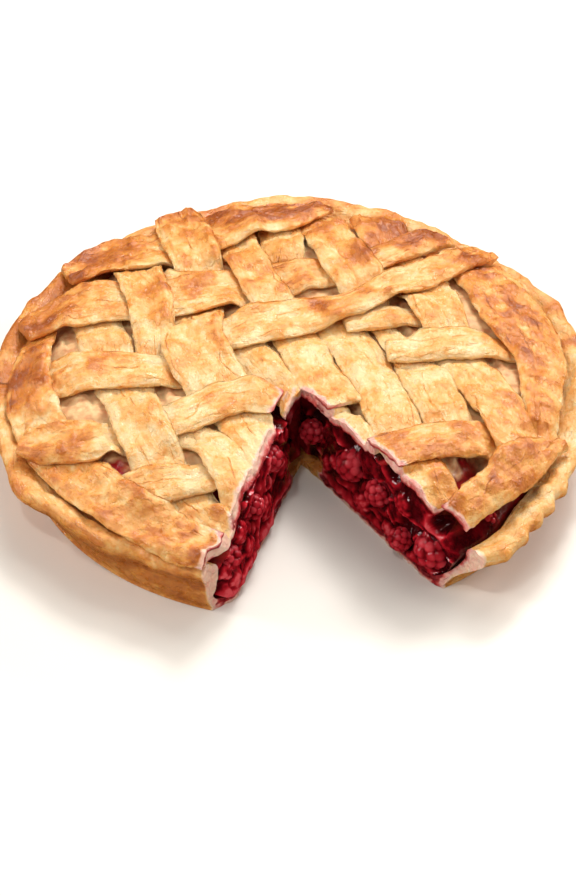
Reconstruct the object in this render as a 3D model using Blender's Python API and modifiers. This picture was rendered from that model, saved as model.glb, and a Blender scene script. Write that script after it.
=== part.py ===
"""Raspberry pie with a woven lattice top and one slice cut out.

Metres, +Z up. The origin is the centre of the round, flat underside, and the missing slice opens
towards -Y. The crust shell, the filling, each whole berry at the cut and each lattice strip are
separate pieces with a hairline clearance between them.
"""
import math
import random

import bmesh
import bpy
import numpy as np
from mathutils import Vector, noise

MM = 0.001                  # sizes and places below are written in millimetres and scaled by this
CLEARANCE = 0.4             # between neighbouring pieces

# Crust shell: a flat base with a wall that flares out to a rolled rim.
BASE_RADIUS = 99.5
BASE_THICKNESS = 3.2
RIM_RADIUS = 110.0
RIM_HEIGHT = 24.5
RIM_ROLL = 1.3              # how much the rolled rim rises and falls round the pie
FOLD_DEPTH = 0.9            # soft upright folds in the outside of the wall
TURN_STEPS = 54             # sides of the turned shell and filling

# The rim isn't a true circle: its radius at an angle from +X, anticlockwise.
RIM_OUTLINE = (
    (-165, 111.5), (-150, 113.0), (-135, 110.0), (-120, 106.5), (-107, 106.5), (-90, 110.0),
    (-62, 114.8), (-49, 116.8), (-38, 112.4), (-23, 109.7), (0, 109.0), (25, 109.8), (43, 108.6),
    (61, 107.5), (74, 110.7), (90, 113.0), (106, 111.4), (125, 109.5), (150, 109.5), (175, 110.5))

# Profiles of the shell in a circle: (radius, height) of the wall's outside and inside, and
# (inset from the rim, height) from the rim's outside over the roll to its inner edge.
WALL_OUTSIDE = ((0.0, 0.0), (BASE_RADIUS - 3.0, 0.0), (BASE_RADIUS, 1.2), (BASE_RADIUS + 2.0, 6.0),
                (BASE_RADIUS + 5.5, 13.0), (RIM_RADIUS - 1.2, 18.5))
RIM_TOP = ((0.0, 21.5), (1.2, 23.6), (4.0, RIM_HEIGHT), (6.5, 23.6), (8.8, 21.6), (11.5, 20.2))
WALL_INSIDE = ((BASE_RADIUS - 2.0, 8.0), (BASE_RADIUS - 5.5, BASE_THICKNESS + 0.6),
               (BASE_RADIUS - 12.0, BASE_THICKNESS), (0.0, BASE_THICKNESS))

# Missing slice: two straight cuts that meet short of the middle.
SLICE_APEX = (3.0, -19.5)
SLICE_RIGHT_ANGLE = -54.0
SLICE_LEFT_ANGLE = -108.0
SLICE_REACH = 190.0

# The surface that the lattice lies on: nearly level, then falling to the rim, with one raised
# shoulder beside the right cut and one slack patch beside the left cut.
CROWN_HEIGHT = 35.0
CROWN_FALL = 12.0
CROWN_RADIUS = 105.0
CROWN_POWER = 6
SHOULDER = {"x": 52.0, "y": -70.0, "height": 8.0, "spread": 28.0}
SLACK = {"x": -20.0, "y": -70.0, "height": -2.5, "spread": 30.0}

# Lattice strips.
STRIP_THICKNESS = 3.2
STRIP_SINK = 2.0            # how far a strip presses down where another lies over it
STRIP_PRESSED = 0.7         # its thickness there, against its own
STRIP_STEP = 8.6            # spacing of the sections along a strip
OUTLINE_STEP = 2.5          # spacing of the points that distances to a strip are taken from
MARGIN = 3.0                # a strip keeps its crossing height this far past its neighbour's edge
EASE = 5.0                  # and comes back to the crown over this length
STACK_DEPTH = 3             # strips counted below one another at a crossing
STACK_GAP = 0.6             # between two strips where they cross, before any trimming
TRIM = 0.32                 # what is cut away round a strip from those under it
LEDGE_CLEARANCE = 1.0       # between a strip's end and the uneven rim under it
SECTION = (                 # (across, up) round a strip's section, in half widths and thicknesses
    (-0.94, 0.0), (-0.34, 0.0), (0.34, 0.0), (0.94, 0.0), (1.0, 0.5),
    (0.84, 0.9), (0.3, 1.0), (-0.3, 1.0), (-0.84, 0.9), (-1.0, 0.5))

# Filling.
FILLING_DROP = 1.3          # below the lowest strip, so that it stays clear of all of them
FILLING_BUMP = 1.3
FILLING_LUMP_SIZE = 9.0
FILLING_RING = 13.0         # between the rings of points on its top
FILLING_INSET = 12.4        # of its upper edge from the rim
FILLING_EDGE = 19.0         # height of the filling against the wall, and its rise inwards from there
FILLING_SLOPE = 0.9

# Each strip's route over the pie: (x, y, width) at a few places on its middle line.
ROUTES = {
    "strip_down_1": ((-95, 14, 12), (-96, -11, 17), (-90, -33, 18), (-78, -54, 18), (-62, -73, 16),
                     (-42, -87, 14), (-22, -97, 12)),
    "strip_down_2": ((-80, 50, 15), (-72, 14, 18), (-62, -21, 18), (-51, -50, 19), (-39, -74, 16),
                     (-24, -95, 13)),
    "strip_down_3": ((-61, 54, 14), (-54, 27, 13), (-52, 2, 12), (-45, -20, 13), (-33, -44, 14),
                     (-17, -74, 12)),
    "strip_down_4": ((-45, 95, 18), (-41, 74, 19), (-35, 49, 18), (-34, 19, 18), (-33, 3, 20),
                     (-25, -15, 19), (-19, -35, 13), (-12, -60, 8)),
    "strip_down_5": ((-21, 15, 12), (-13, 0, 12), (-5, -18, 11), (0, -28, 9)),
    "strip_down_6": ((-23, 76, 14), (-18, 57, 15), (-12, 39, 16), (1, 6, 15), (7, -11, 14),
                     (15, -31, 14)),
    "strip_down_6_tip": ((15, -33, 9), (21, -43, 10), (27, -54, 8)),
    "strip_down_7": ((14, 28, 12), (25, -1, 15), (31, -20, 16), (41, -58, 16), (53, -86, 14)),
    "strip_down_8": ((10, 90, 18), (17, 63, 19), (27, 39, 19), (36, 18, 15), (43, -1, 15),
                     (49, -15, 16), (58, -50, 15)),
    "strip_down_9": ((31, 90, 18), (38, 63, 16), (46, 42, 16), (56, 11, 16), (64, -7, 15),
                     (75, -41, 17), (79, -54, 15)),
    "strip_down_10": ((69, 62, 22), (76, 46, 25), (84, 24, 27), (90, 6, 21), (90, -10, 16),
                      (89, -26, 13), (90, -44, 6)),
    "strip_down_top": ((-6, 82, 13), (-4, 57, 13)),
    "strip_across_a": ((-86, 57, 15), (-68, 66, 26), (-52, 69, 30), (-22, 85, 32), (-5, 90, 27),
                       (7, 97, 17), (13, 103, 9)),
    "strip_across_b": ((-100, 22, 11), (-90, 28, 22), (-77, 32, 26), (-60, 33, 25), (-32, 36, 24),
                       (-2, 46, 17), (22, 53, 14), (38, 57, 12), (55, 75, 12)),
    "strip_across_c": ((-38, 5, 12), (-22, 13, 19), (7, 22, 19), (20, 26, 15), (36, 37, 13),
                       (50, 48, 13), (75, 73, 13)),
    "strip_across_d": ((-91, -9, 15), (-72, -10, 18), (-46, -9, 16), (-34, -7, 13)),
    "strip_across_d_mid": ((19, 17, 10), (34, 21, 12), (47, 25, 10)),
    "strip_across_d_right": ((34, 1, 12), (44, 2, 14), (54, 5, 17), (65, 6, 17), (78, 7, 12),
                             (85, 7, 9)),
    "strip_across_e": ((-101, -39, 13), (-84, -42, 17), (-68, -43, 19), (-44, -36, 15),
                       (-20, -24, 15), (-7, -29, 11)),
    "strip_across_e_right": ((22, -66, 12), (43, -59, 16), (66, -48, 18), (77, -44, 14)),
    "strip_across_f": ((-68, -70, 10), (-47, -67, 14), (-23, -64, 10)),
    "strip_across_f_right": ((42, -93, 13), (53, -84, 15), (63, -77, 15), (73, -67, 15),
                             (84, -54, 12), (97, -42, 5)),
}

# Which strips each strip lies over where they cross.
LIES_OVER = {
    "strip_down_1": ("strip_across_d", "strip_across_f", "strip_down_2"),
    "strip_down_2": ("strip_across_e",),
    "strip_down_3": ("strip_across_b", "strip_across_f"),
    "strip_down_4": ("strip_across_a", "strip_across_c", "strip_across_d", "strip_down_5"),
    "strip_down_6": ("strip_across_b", "strip_down_6_tip", "strip_down_top"),
    "strip_down_8": ("strip_across_b",),
    "strip_down_9": ("strip_across_e_right", "strip_across_d_mid"),
    "strip_down_10": ("strip_across_d_right",),
    "strip_across_a": ("strip_down_2", "strip_down_3", "strip_down_6", "strip_down_8",
                       "strip_down_top"),
    "strip_across_b": ("strip_down_1", "strip_down_2", "strip_down_4", "strip_down_9",
                       "strip_down_top"),
    "strip_across_c": ("strip_down_5", "strip_down_6", "strip_down_7", "strip_down_8",
                       "strip_down_9", "strip_down_10", "strip_across_d_mid"),
    "strip_across_d": ("strip_down_2", "strip_down_3"),
    "strip_across_d_mid": ("strip_down_7", "strip_down_8"),
    "strip_across_d_right": ("strip_down_7", "strip_down_8", "strip_down_9"),
    "strip_across_e": ("strip_down_1", "strip_down_3", "strip_down_4", "strip_down_5"),
    "strip_across_e_right": ("strip_down_6_tip", "strip_down_7", "strip_down_8"),
    "strip_across_f": ("strip_down_2",),
    "strip_across_f_right": ("strip_down_7", "strip_down_9", "strip_down_10"),
}

# Whole berries that show: (x, y, z, diameter). The last one lies in the gap between the strip
# at the front right and the rim.
BERRIES = {
    "berry_1": (6.9, -21.2, 17.6, 10.0),
    "berry_2": (21.6, -41.6, 19.8, 13.0),
    "berry_3": (30.5, -54.4, 18.0, 11.0),
    "berry_4": (38.0, -68.4, 8.5, 9.4),
    "berry_5": (49.6, -77.2, 11.9, 14.9),
    "berry_6": (-8.6, -43.0, 24.0, 11.0),
    "berry_7": (-14.5, -63.5, 19.5, 10.0),
    "berry_8": (-23.0, -86.5, 17.0, 10.5),
    "berry_9": (67.0, -71.0, 20.5, 9.0),
}

# Crushed berries that stand out of the cut faces: (side, along the cut, height, radius).
LUMPS = (
    ("right", 14.0, 14.0, 4.5), ("right", 34.0, 9.0, 5.5), ("right", 48.0, 8.5, 5.0),
    ("right", 60.0, 22.0, 6.0), ("right", 70.0, 25.0, 5.0), ("right", 19.0, 26.0, 4.5),
    ("right", 52.0, 27.5, 4.5),
    ("left", 18.0, 16.0, 5.5), ("left", 38.0, 12.0, 5.5), ("left", 58.0, 10.0, 5.0),
    ("left", 64.0, 22.0, 5.0), ("left", 70.0, 8.0, 4.0), ("left", 20.0, 27.0, 4.5))
LUMP_SINK = 2.0             # how far a lump's centre lies behind the cut face

COLOURS = {                 # (red, green, blue), roughness
    "crust": ((0.66, 0.36, 0.13), 0.55),
    "strip": ((0.72, 0.42, 0.16), 0.5),
    "filling": ((0.16, 0.006, 0.018), 0.2),
    "berry": ((0.32, 0.01, 0.03), 0.25),
}


# ---------------------------------------------------------------- surfaces of the pie

def smoothstep(low, high, value):
    """0 below low, 1 above high, easing in between; works on arrays."""
    part = np.clip((value - low) / (high - low), 0.0, 1.0)
    return part * part * (3.0 - 2.0 * part)


def swelling(place, x, y):
    """A round hill or hollow on the crown."""
    reach = (x - place["x"]) ** 2 + (y - place["y"]) ** 2
    return place["height"] * np.exp(-reach / (2.0 * place["spread"] ** 2))


def crown(x, y):
    """Height of the surface that the lattice lies on."""
    fall = CROWN_FALL * (np.minimum(np.hypot(x, y), RIM_RADIUS) / CROWN_RADIUS) ** CROWN_POWER
    return CROWN_HEIGHT - fall + swelling(SHOULDER, x, y) + swelling(SLACK, x, y)


def rim_radius(angle):
    """Radius of the rim's outside at an angle in degrees, smooth all round."""
    angles = np.array([point[0] for point in RIM_OUTLINE], float)
    radii = np.array([point[1] for point in RIM_OUTLINE], float)
    angles = np.concatenate((angles - 360.0, angles, angles + 360.0))
    radii = np.concatenate((radii, radii, radii))
    spot = np.clip(np.searchsorted(angles, angle) - 1, 0, len(angles) - 2)
    part = smoothstep(angles[spot], angles[spot + 1], angle)
    return radii[spot] + (radii[spot + 1] - radii[spot]) * part


def rim_wave(angle):
    """Rise and fall of the rolled rim at an angle in degrees."""
    turn = np.radians(angle)
    return RIM_ROLL * (0.6 * np.sin(5.0 * turn + 0.8) + 0.4 * np.sin(11.0 * turn + 2.1))


def wall_shift(radius, height, angle):
    """How far the wall's true radius lies outside its nominal one."""
    flare = smoothstep(3.0, 19.0, height)
    folds = FOLD_DEPTH * np.sin(26.0 * np.radians(angle)) * np.sin(7.0 * np.radians(angle) + 1.0)
    outside = smoothstep(RIM_RADIUS - 12.0, RIM_RADIUS - 5.0, radius)
    return flare * (rim_radius(angle) - RIM_RADIUS) + folds * outside * flare


def ledge_height(x, y):
    """Top of the shell's rim under a point, or far below where there is no rim."""
    angle = np.degrees(np.arctan2(y, x))
    nominal = np.hypot(x, y) - (rim_radius(angle) - RIM_RADIUS)
    inset = np.array([point[0] for point in reversed(RIM_TOP)])
    top = np.array([point[1] for point in reversed(RIM_TOP)])
    height = np.interp(nominal, RIM_RADIUS - inset, top)
    height = height + rim_wave(angle) * smoothstep(RIM_RADIUS - 9.0, RIM_RADIUS - 5.0, nominal)
    return np.where(nominal < RIM_RADIUS - inset.max() - 2.0, -50.0, height)


# ---------------------------------------------------------------- lattice strips

def spline(points, step):
    """A smooth curve through the points, sampled about every step."""
    points = np.array(points, float)
    ends = (2 * points[0] - points[1], points, 2 * points[-1] - points[-2])
    padded = np.vstack(ends)
    samples = []
    for index in range(len(points) - 1):
        a, b, c, d = padded[index:index + 4]
        count = max(1, round(np.linalg.norm((c - b)[:2]) / step))
        for t in np.arange(count) / count:
            samples.append(0.5 * (2 * b + (c - a) * t + (2 * a - 5 * b + 4 * c - d) * t ** 2
                                  + (3 * b - a - 3 * c + d) * t ** 3))
    samples.append(points[-1])
    return np.array(samples)


def outside_by(name, x, y):
    """Distance from points to a strip's outline in plan, negative inside it."""
    line = spline(ROUTES[name], OUTLINE_STEP)
    offset_x = x[:, None] - line[None, :, 0]
    offset_y = y[:, None] - line[None, :, 1]
    reach = np.hypot(offset_x, offset_y)
    nearest = reach.argmin(axis=1)
    rows = np.arange(len(x))
    beside = reach[rows, nearest] - line[nearest, 2] / 2.0
    for end, inner in ((0, 1), (len(line) - 1, len(line) - 2)):
        tangent = line[end, :2] - line[inner, :2]
        tangent = tangent / np.linalg.norm(tangent)
        past = offset_x[rows, end] * tangent[0] + offset_y[rows, end] * tangent[1]
        side = np.abs(offset_y[rows, end] * tangent[0] - offset_x[rows, end] * tangent[1])
        at_end = (nearest == end) & (past > 0.0)
        beside = np.where(at_end, np.maximum(past, side - line[end, 2] / 2.0), beside)
    return beside


def nearness(name, x, y):
    """1 over a strip and a margin round it, easing to 0 a little further out."""
    return 1.0 - smoothstep(MARGIN, MARGIN + EASE, outside_by(name, x, y))


def covered(name, x, y):
    """1 where another strip lies over this one, easing to 0 beside it."""
    cover = np.zeros_like(x)
    for other, below in LIES_OVER.items():
        if name in below:
            cover = np.maximum(cover, nearness(other, x, y))
    return cover


def thickness(name, x, y):
    """A strip's thickness, less where it is pressed."""
    return STRIP_THICKNESS * (1.0 - (1.0 - STRIP_PRESSED) * covered(name, x, y))


def underside(name, x, y, depth=0):
    """Height of a strip's underside: pressed down under a strip, lifted over one."""
    height = crown(x, y) - STRIP_SINK * covered(name, x, y)
    if depth < STACK_DEPTH:
        for lower in LIES_OVER.get(name, ()):
            top = underside(lower, x, y, depth + 1) + thickness(lower, x, y) + STACK_GAP
            lifted = height + (top - height) * nearness(lower, x, y)
            height = np.maximum(height, lifted)
    return np.maximum(height, ledge_height(x, y) + LEDGE_CLEARANCE)


def strip_rings(name, grow=0.0):
    """Sections of a strip along its route, each a closed ring of points, grown on every side."""
    line = spline(ROUTES[name], STRIP_STEP)
    tangent = np.gradient(line[:, :2], axis=0)
    tangent = tangent / np.linalg.norm(tangent, axis=1)[:, None]
    side_u, rise_v = np.array(SECTION).T
    half = side_u * line[:, 2:3] / 2.0
    ring_x = line[:, 0:1] - tangent[:, 1:2] * half
    ring_y = line[:, 1:2] + tangent[:, 0:1] * half
    ring_z = underside(name, ring_x.ravel(), ring_y.ravel()).reshape(ring_x.shape)
    deep = thickness(name, ring_x.ravel(), ring_y.ravel()).reshape(ring_x.shape)
    ring_x = ring_x - tangent[:, 1:2] * side_u * grow
    ring_y = ring_y + tangent[:, 0:1] * side_u * grow
    ring_z = ring_z - grow + rise_v * (deep + 2.0 * grow)
    rings = np.stack((ring_x, ring_y, ring_z), axis=2)
    rings[0, :, :2] -= tangent[0] * grow
    rings[-1, :, :2] += tangent[-1] * grow
    return rings


def loft(mesh, rings):
    """Skin a row of equal rings into one closed body."""
    loops = [[mesh.verts.new(Vector(point) * MM) for point in ring] for ring in rings]
    for first, second in zip(loops, loops[1:]):
        for index in range(len(first)):
            following = (index + 1) % len(first)
            mesh.faces.new((first[index], first[following], second[following], second[index]))
    mesh.faces.new(reversed(loops[0]))
    mesh.faces.new(loops[-1])
    bmesh.ops.recalc_face_normals(mesh, faces=mesh.faces)
    bmesh.ops.triangulate(mesh, faces=mesh.faces, quad_method="FIXED")


# ---------------------------------------------------------------- object helpers

def make_material(name):
    colour, roughness = COLOURS[name]
    material = bpy.data.materials.new(name)
    material.use_nodes = True
    shader = material.node_tree.nodes["Principled BSDF"]
    shader.inputs["Base Color"].default_value = (*colour, 1.0)
    shader.inputs["Roughness"].default_value = roughness
    return material


def add_object(name, mesh, collection, material=None):
    """Turn a bmesh into an object of its own."""
    data = bpy.data.meshes.new(name)
    bmesh.ops.recalc_face_normals(mesh, faces=mesh.faces)
    mesh.to_mesh(data)
    mesh.free()
    obj = bpy.data.objects.new(name, data)
    collection.objects.link(obj)
    if material:
        data.materials.append(material)
    return obj


def apply_modifiers(obj):
    """Replace an object's mesh by what its modifiers make of it."""
    graph = bpy.context.evaluated_depsgraph_get()
    graph.update()
    data = bpy.data.meshes.new_from_object(obj.evaluated_get(graph))
    obj.modifiers.clear()
    obj.data = data


def add_helper(name, mesh, collection):
    helper = add_object(name, mesh, collection)
    helper.hide_render = True
    helper.display_type = "WIRE"
    return helper


def remove_helpers(helpers):
    for helper in list(helpers.objects):
        bpy.data.objects.remove(helper, do_unlink=True)
    bpy.data.collections.remove(helpers)


def cut_by(obj, cutters, operation="DIFFERENCE", solver="EXACT"):
    """Apply a Boolean with a whole collection of helper objects."""
    modifier = obj.modifiers.new("cut", "BOOLEAN")
    modifier.operation = operation
    modifier.operand_type = "COLLECTION"
    modifier.collection = cutters
    modifier.solver = solver
    apply_modifiers(obj)


def keep_largest(obj):
    """Drop loose scraps that a cut leaves behind."""
    mesh = bmesh.new()
    mesh.from_mesh(obj.data)
    islands = []
    unseen = set(mesh.verts)
    while unseen:
        front = [unseen.pop()]
        island = list(front)
        while front:
            vertex = front.pop()
            for edge in vertex.link_edges:
                other = edge.other_vert(vertex)
                if other in unseen:
                    unseen.remove(other)
                    island.append(other)
                    front.append(other)
        islands.append(island)
    islands.sort(key=len)
    scraps = [vertex for island in islands[:-1] for vertex in island]
    bmesh.ops.delete(mesh, geom=scraps, context="VERTS")
    mesh.to_mesh(obj.data)
    mesh.free()


def turned(name, profile, steps, collection):
    """A profile of (radius, height) points turned round the pie's axis."""
    mesh = bmesh.new()
    verts = [mesh.verts.new((radius * MM, 0.0, height * MM)) for radius, height in profile]
    for first, second in zip(verts, verts[1:]):
        mesh.edges.new((first, second))
    obj = add_object(name, mesh, collection)
    screw = obj.modifiers.new("turn", "SCREW")
    screw.steps = steps
    screw.render_steps = steps
    screw.use_merge_vertices = True
    screw.merge_threshold = 0.00001
    apply_modifiers(obj)
    return obj


def reshape(obj, rule):
    """Move every vertex by a rule that takes and returns arrays of x, y and z."""
    count = len(obj.data.vertices)
    flat = np.empty(count * 3)
    obj.data.vertices.foreach_get("co", flat)
    x, y, z = flat.reshape(count, 3).T / MM
    moved = np.stack(rule(x, y, z), axis=1) * MM
    obj.data.vertices.foreach_set("co", moved.ravel())
    obj.data.update()


def face_outward(obj):
    mesh = bmesh.new()
    mesh.from_mesh(obj.data)
    bmesh.ops.recalc_face_normals(mesh, faces=mesh.faces)
    mesh.to_mesh(obj.data)
    mesh.free()


def finish(obj, material, sharp_angle=50.0):
    face_outward(obj)
    obj.data.materials.clear()
    obj.data.materials.append(material)
    obj.data.shade_smooth()
    obj.data.set_sharp_from_angle(angle=math.radians(sharp_angle))


# ---------------------------------------------------------------- sub-parts

def slice_direction(side):
    angle = SLICE_RIGHT_ANGLE if side == "right" else SLICE_LEFT_ANGLE
    return Vector((math.cos(math.radians(angle)), math.sin(math.radians(angle)), 0.0))


def slice_cutter(collection):
    """A tall prism over the missing slice."""
    apex = Vector((SLICE_APEX[0], SLICE_APEX[1], 0.0))
    corners = (apex, apex + slice_direction("left") * SLICE_REACH,
               apex + slice_direction("right") * SLICE_REACH)
    mesh = bmesh.new()
    floor = [mesh.verts.new((corner + Vector((0.0, 0.0, -10.0))) * MM) for corner in corners]
    face = mesh.faces.new(floor)
    raised = bmesh.ops.extrude_face_region(mesh, geom=[face])
    top = [item for item in raised["geom"] if isinstance(item, bmesh.types.BMVert)]
    bmesh.ops.translate(mesh, verts=top, vec=(0.0, 0.0, 90.0 * MM))
    return add_helper("slice_cutter", mesh, collection)


def shell_shape(x, y, z):
    """Push a nominal turned wall out to the pie's uneven rim."""
    radius = np.hypot(x, y)
    angle = np.degrees(np.arctan2(y, x))
    roll = smoothstep(RIM_RADIUS - 9.0, RIM_RADIUS - 5.0, radius) * smoothstep(15.0, 21.0, z)
    grown = (radius + wall_shift(radius, z, angle)) / np.maximum(radius, 1.0)
    return x * grown, y * grown, z + rim_wave(angle) * roll


def make_base_crust(collection, cutters, material):
    roll = tuple((RIM_RADIUS - inset, height) for inset, height in RIM_TOP)
    profile = WALL_OUTSIDE + roll + WALL_INSIDE
    crust = turned("base_crust", profile, TURN_STEPS, collection)
    reshape(crust, shell_shape)
    face_outward(crust)
    cut_by(crust, cutters)
    keep_largest(crust)
    finish(crust, material)


def filling_ceiling(x, y):
    """The highest that the filling may reach: clear of every strip and of the rim."""
    ceiling = crown(x, y)
    for name in ROUTES:
        near = outside_by(name, x, y) < MARGIN + EASE
        ceiling = np.where(near, np.minimum(ceiling, underside(name, x, y)), ceiling)
    return ceiling - FILLING_DROP


def filling_shape(x, y, z):
    """Raise the lid of a nominal filling to its lumpy surface under the lattice."""
    lid = z > RIM_HEIGHT + 20.0
    inward = RIM_RADIUS - FILLING_INSET - np.hypot(x, y)
    x, y, z = shell_shape(x, y, z)
    lumps = np.array([noise.noise(Vector((a, b, 0.0)) / FILLING_LUMP_SIZE)
                      for a, b in zip(x, y)])
    top = filling_ceiling(x, y) - FILLING_BUMP * (0.5 + 0.5 * lumps)
    top = np.minimum(top, FILLING_EDGE + FILLING_SLOPE * inward)
    return x, y, np.where(lid, top, z)


def lump_centre(side, along, height):
    inward = slice_direction(side).cross(Vector((0.0, 0.0, 1.0)))
    if side == "right":
        inward = -inward
    place = Vector((SLICE_APEX[0], SLICE_APEX[1], height)) + slice_direction(side) * along
    return place + inward * LUMP_SINK


def ball(centre, radius, subdivisions, stretch=1.0):
    mesh = bmesh.new()
    bmesh.ops.create_icosphere(mesh, subdivisions=subdivisions, radius=radius * MM)
    for vertex in mesh.verts:
        vertex.co.z *= stretch
    bmesh.ops.translate(mesh, verts=mesh.verts, vec=Vector(centre) * MM)
    return mesh


def make_filling(collection, cutters, material):
    """Fruit from the base crust up to the lattice, lumpy on top and at both cuts."""
    floor = BASE_THICKNESS + CLEARANCE
    wall = [(0.0, floor), (BASE_RADIUS - 12.0, floor), (BASE_RADIUS - 6.2, floor + 0.7),
            (BASE_RADIUS - 2.8, 8.2), (RIM_RADIUS - FILLING_INSET, FILLING_EDGE)]
    edge = wall[-1][0]
    rings = int(edge // FILLING_RING)
    lid = [(edge * (1.0 - index / rings), RIM_HEIGHT + 30.0) for index in range(1, rings + 1)]
    filling = turned("filling", wall + lid, TURN_STEPS, collection)
    reshape(filling, filling_shape)
    face_outward(filling)
    cut_by(filling, cutters)

    lumps = bpy.data.collections.new("lumps")
    for side, along, height, radius in LUMPS:
        add_helper("lump", ball(lump_centre(side, along, height), radius, 2, 0.85), lumps)
    cut_by(filling, lumps, "UNION")

    sockets = bpy.data.collections.new("sockets")
    for x, y, z, diameter in BERRIES.values():
        socket = ball((x, y, z), diameter / 2.0 + 2.0 * CLEARANCE, 2)
        add_helper("socket", socket, sockets)
    cut_by(filling, sockets)
    keep_largest(filling)
    finish(filling, material)
    remove_helpers(lumps)
    remove_helpers(sockets)


def drupelet_centres(count):
    """Evenly spread directions on a sphere, in a rising spiral."""
    turn = math.pi * (3.0 - math.sqrt(5.0))
    centres = []
    for index in range(count):
        height = 1.0 - 2.0 * (index + 0.5) / count
        across = math.sqrt(1.0 - height * height)
        centres.append(Vector((across * math.cos(turn * index), across * math.sin(turn * index),
                               height)))
    return centres


def make_berry(name, spot, collection, material):
    """A raspberry: a ball of round drupelets."""
    x, y, z, diameter = spot
    source = random.Random(name)
    mesh = bmesh.new()
    bmesh.ops.create_icosphere(mesh, subdivisions=3, radius=1.0)
    centres = drupelet_centres(42)
    for vertex in mesh.verts:
        direction = vertex.co.normalized()
        nearest = min((direction - centre).length for centre in centres)
        vertex.co = direction * (diameter / 2.0) * (1.0 - 0.55 * nearest ** 2 / 0.3) * MM
    obj = add_object(name, mesh, collection, material)
    obj.rotation_euler = [source.uniform(-0.6, 0.6) for _ in range(3)]
    obj.location = Vector((x, y, z)) * MM
    obj.data.shade_smooth()


def make_strip(name, collection, cutters, material):
    """One lattice strip, trimmed where a strip over it would touch."""
    mesh = bmesh.new()
    loft(mesh, strip_rings(name))
    strip = add_object(name, mesh, collection)
    cut_by(strip, cutters)
    uppers = bpy.data.collections.new("uppers")
    for other, below in LIES_OVER.items():
        if name in below:
            grown = bmesh.new()
            loft(grown, strip_rings(other, TRIM))
            add_helper("upper", grown, uppers)
    if uppers.objects:
        cut_by(strip, uppers, solver="MANIFOLD")
    remove_helpers(uppers)
    keep_largest(strip)
    finish(strip, material, 60.0)


def clear_scene():
    for obj in list(bpy.data.objects):
        bpy.data.objects.remove(obj, do_unlink=True)


def main():
    clear_scene()
    pie = bpy.data.collections.new("raspberry_lattice_pie")
    cutters = bpy.data.collections.new("cutters")
    bpy.context.scene.collection.children.link(pie)
    bpy.context.scene.collection.children.link(cutters)
    materials = {name: make_material(name) for name in COLOURS}

    slice_cutter(cutters)
    make_base_crust(pie, cutters, materials["crust"])
    make_filling(pie, cutters, materials["filling"])
    for name, spot in BERRIES.items():
        make_berry(name, spot, pie, materials["berry"])
    for name in ROUTES:
        make_strip(name, pie, cutters, materials["strip"])


main()
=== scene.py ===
"""Looks of a raspberry pie with a woven lattice top and one slice cut out.

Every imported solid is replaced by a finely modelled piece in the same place: flaky strips, a folded
crust, wet crushed fruit and whole berries. Lengths are written in millimetres, from the centre of
the pie's flat underside, with the missing slice towards -Y.
"""
import functools
import math

import bmesh
import bpy
import numpy as np
from mathutils import Euler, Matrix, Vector


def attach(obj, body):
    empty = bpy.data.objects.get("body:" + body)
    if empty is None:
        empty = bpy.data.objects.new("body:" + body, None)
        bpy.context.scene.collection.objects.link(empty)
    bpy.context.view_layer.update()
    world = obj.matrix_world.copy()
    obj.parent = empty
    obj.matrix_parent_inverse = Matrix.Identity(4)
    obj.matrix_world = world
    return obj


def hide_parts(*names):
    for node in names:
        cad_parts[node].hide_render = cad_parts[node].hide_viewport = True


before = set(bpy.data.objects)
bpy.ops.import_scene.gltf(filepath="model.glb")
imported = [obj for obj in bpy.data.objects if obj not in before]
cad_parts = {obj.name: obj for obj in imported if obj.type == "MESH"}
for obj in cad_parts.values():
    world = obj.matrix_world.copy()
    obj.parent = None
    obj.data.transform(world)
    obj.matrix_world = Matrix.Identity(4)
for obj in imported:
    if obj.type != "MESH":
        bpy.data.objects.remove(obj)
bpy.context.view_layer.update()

MM = 0.001

# --- sizes shared with the solids ---

BASE_RADIUS = 99.5
BASE_THICKNESS = 3.2
RIM_RADIUS = 110
RIM_HEIGHT = 24.5
RIM_ROLL = 1.3
RIM_OUTLINE = (  # (angle from +X, radius) of the rim's outside
    (-165, 111.5), (-150, 113), (-135, 110), (-120, 106.5), (-107, 106.5), (-90, 110),
    (-62, 114.8), (-49, 116.8), (-38, 112.4), (-23, 109.7), (0, 109), (25, 109.8), (43, 108.6),
    (61, 107.5), (74, 110.7), (90, 113), (106, 111.4), (125, 109.5), (150, 109.5), (175, 110.5))
WALL_OUTSIDE = ((0, 0), (60, 0), (BASE_RADIUS - 3, 0), (BASE_RADIUS, 1.2),
                (BASE_RADIUS + 2, 6), (BASE_RADIUS + 5.5, 13), (RIM_RADIUS - 1.2, 18.5))
RIM_TOP = ((0, 21.6), (0.4, 23.4), (1.6, RIM_HEIGHT), (5.5, 24.2), (9, 22.2), (11.5, 20.2))
WALL_INSIDE = ((BASE_RADIUS - 2, 8), (BASE_RADIUS - 5.5, BASE_THICKNESS + 0.6),
               (BASE_RADIUS - 12, BASE_THICKNESS), (60, BASE_THICKNESS), (0, BASE_THICKNESS))

SLICE_APEX = (3, -19.5)
SLICE_ANGLE = {"right": -54, "left": -108}
SLICE_REACH = 112
WALL_CURVE = {"right": (74, 88), "left": (73, 85)}  # where the cuts curve away
LID_HEIGHT = 34.0  # at the cuts

CROWN_HEIGHT = 35
CROWN_FALL = 12
CROWN_RADIUS = 105
CROWN_POWER = 6
SHOULDER = {"x": 52, "y": -70, "height": 8, "spread": 28}
SLACK = {"x": -20, "y": -70, "height": -2.5, "spread": 30}

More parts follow.
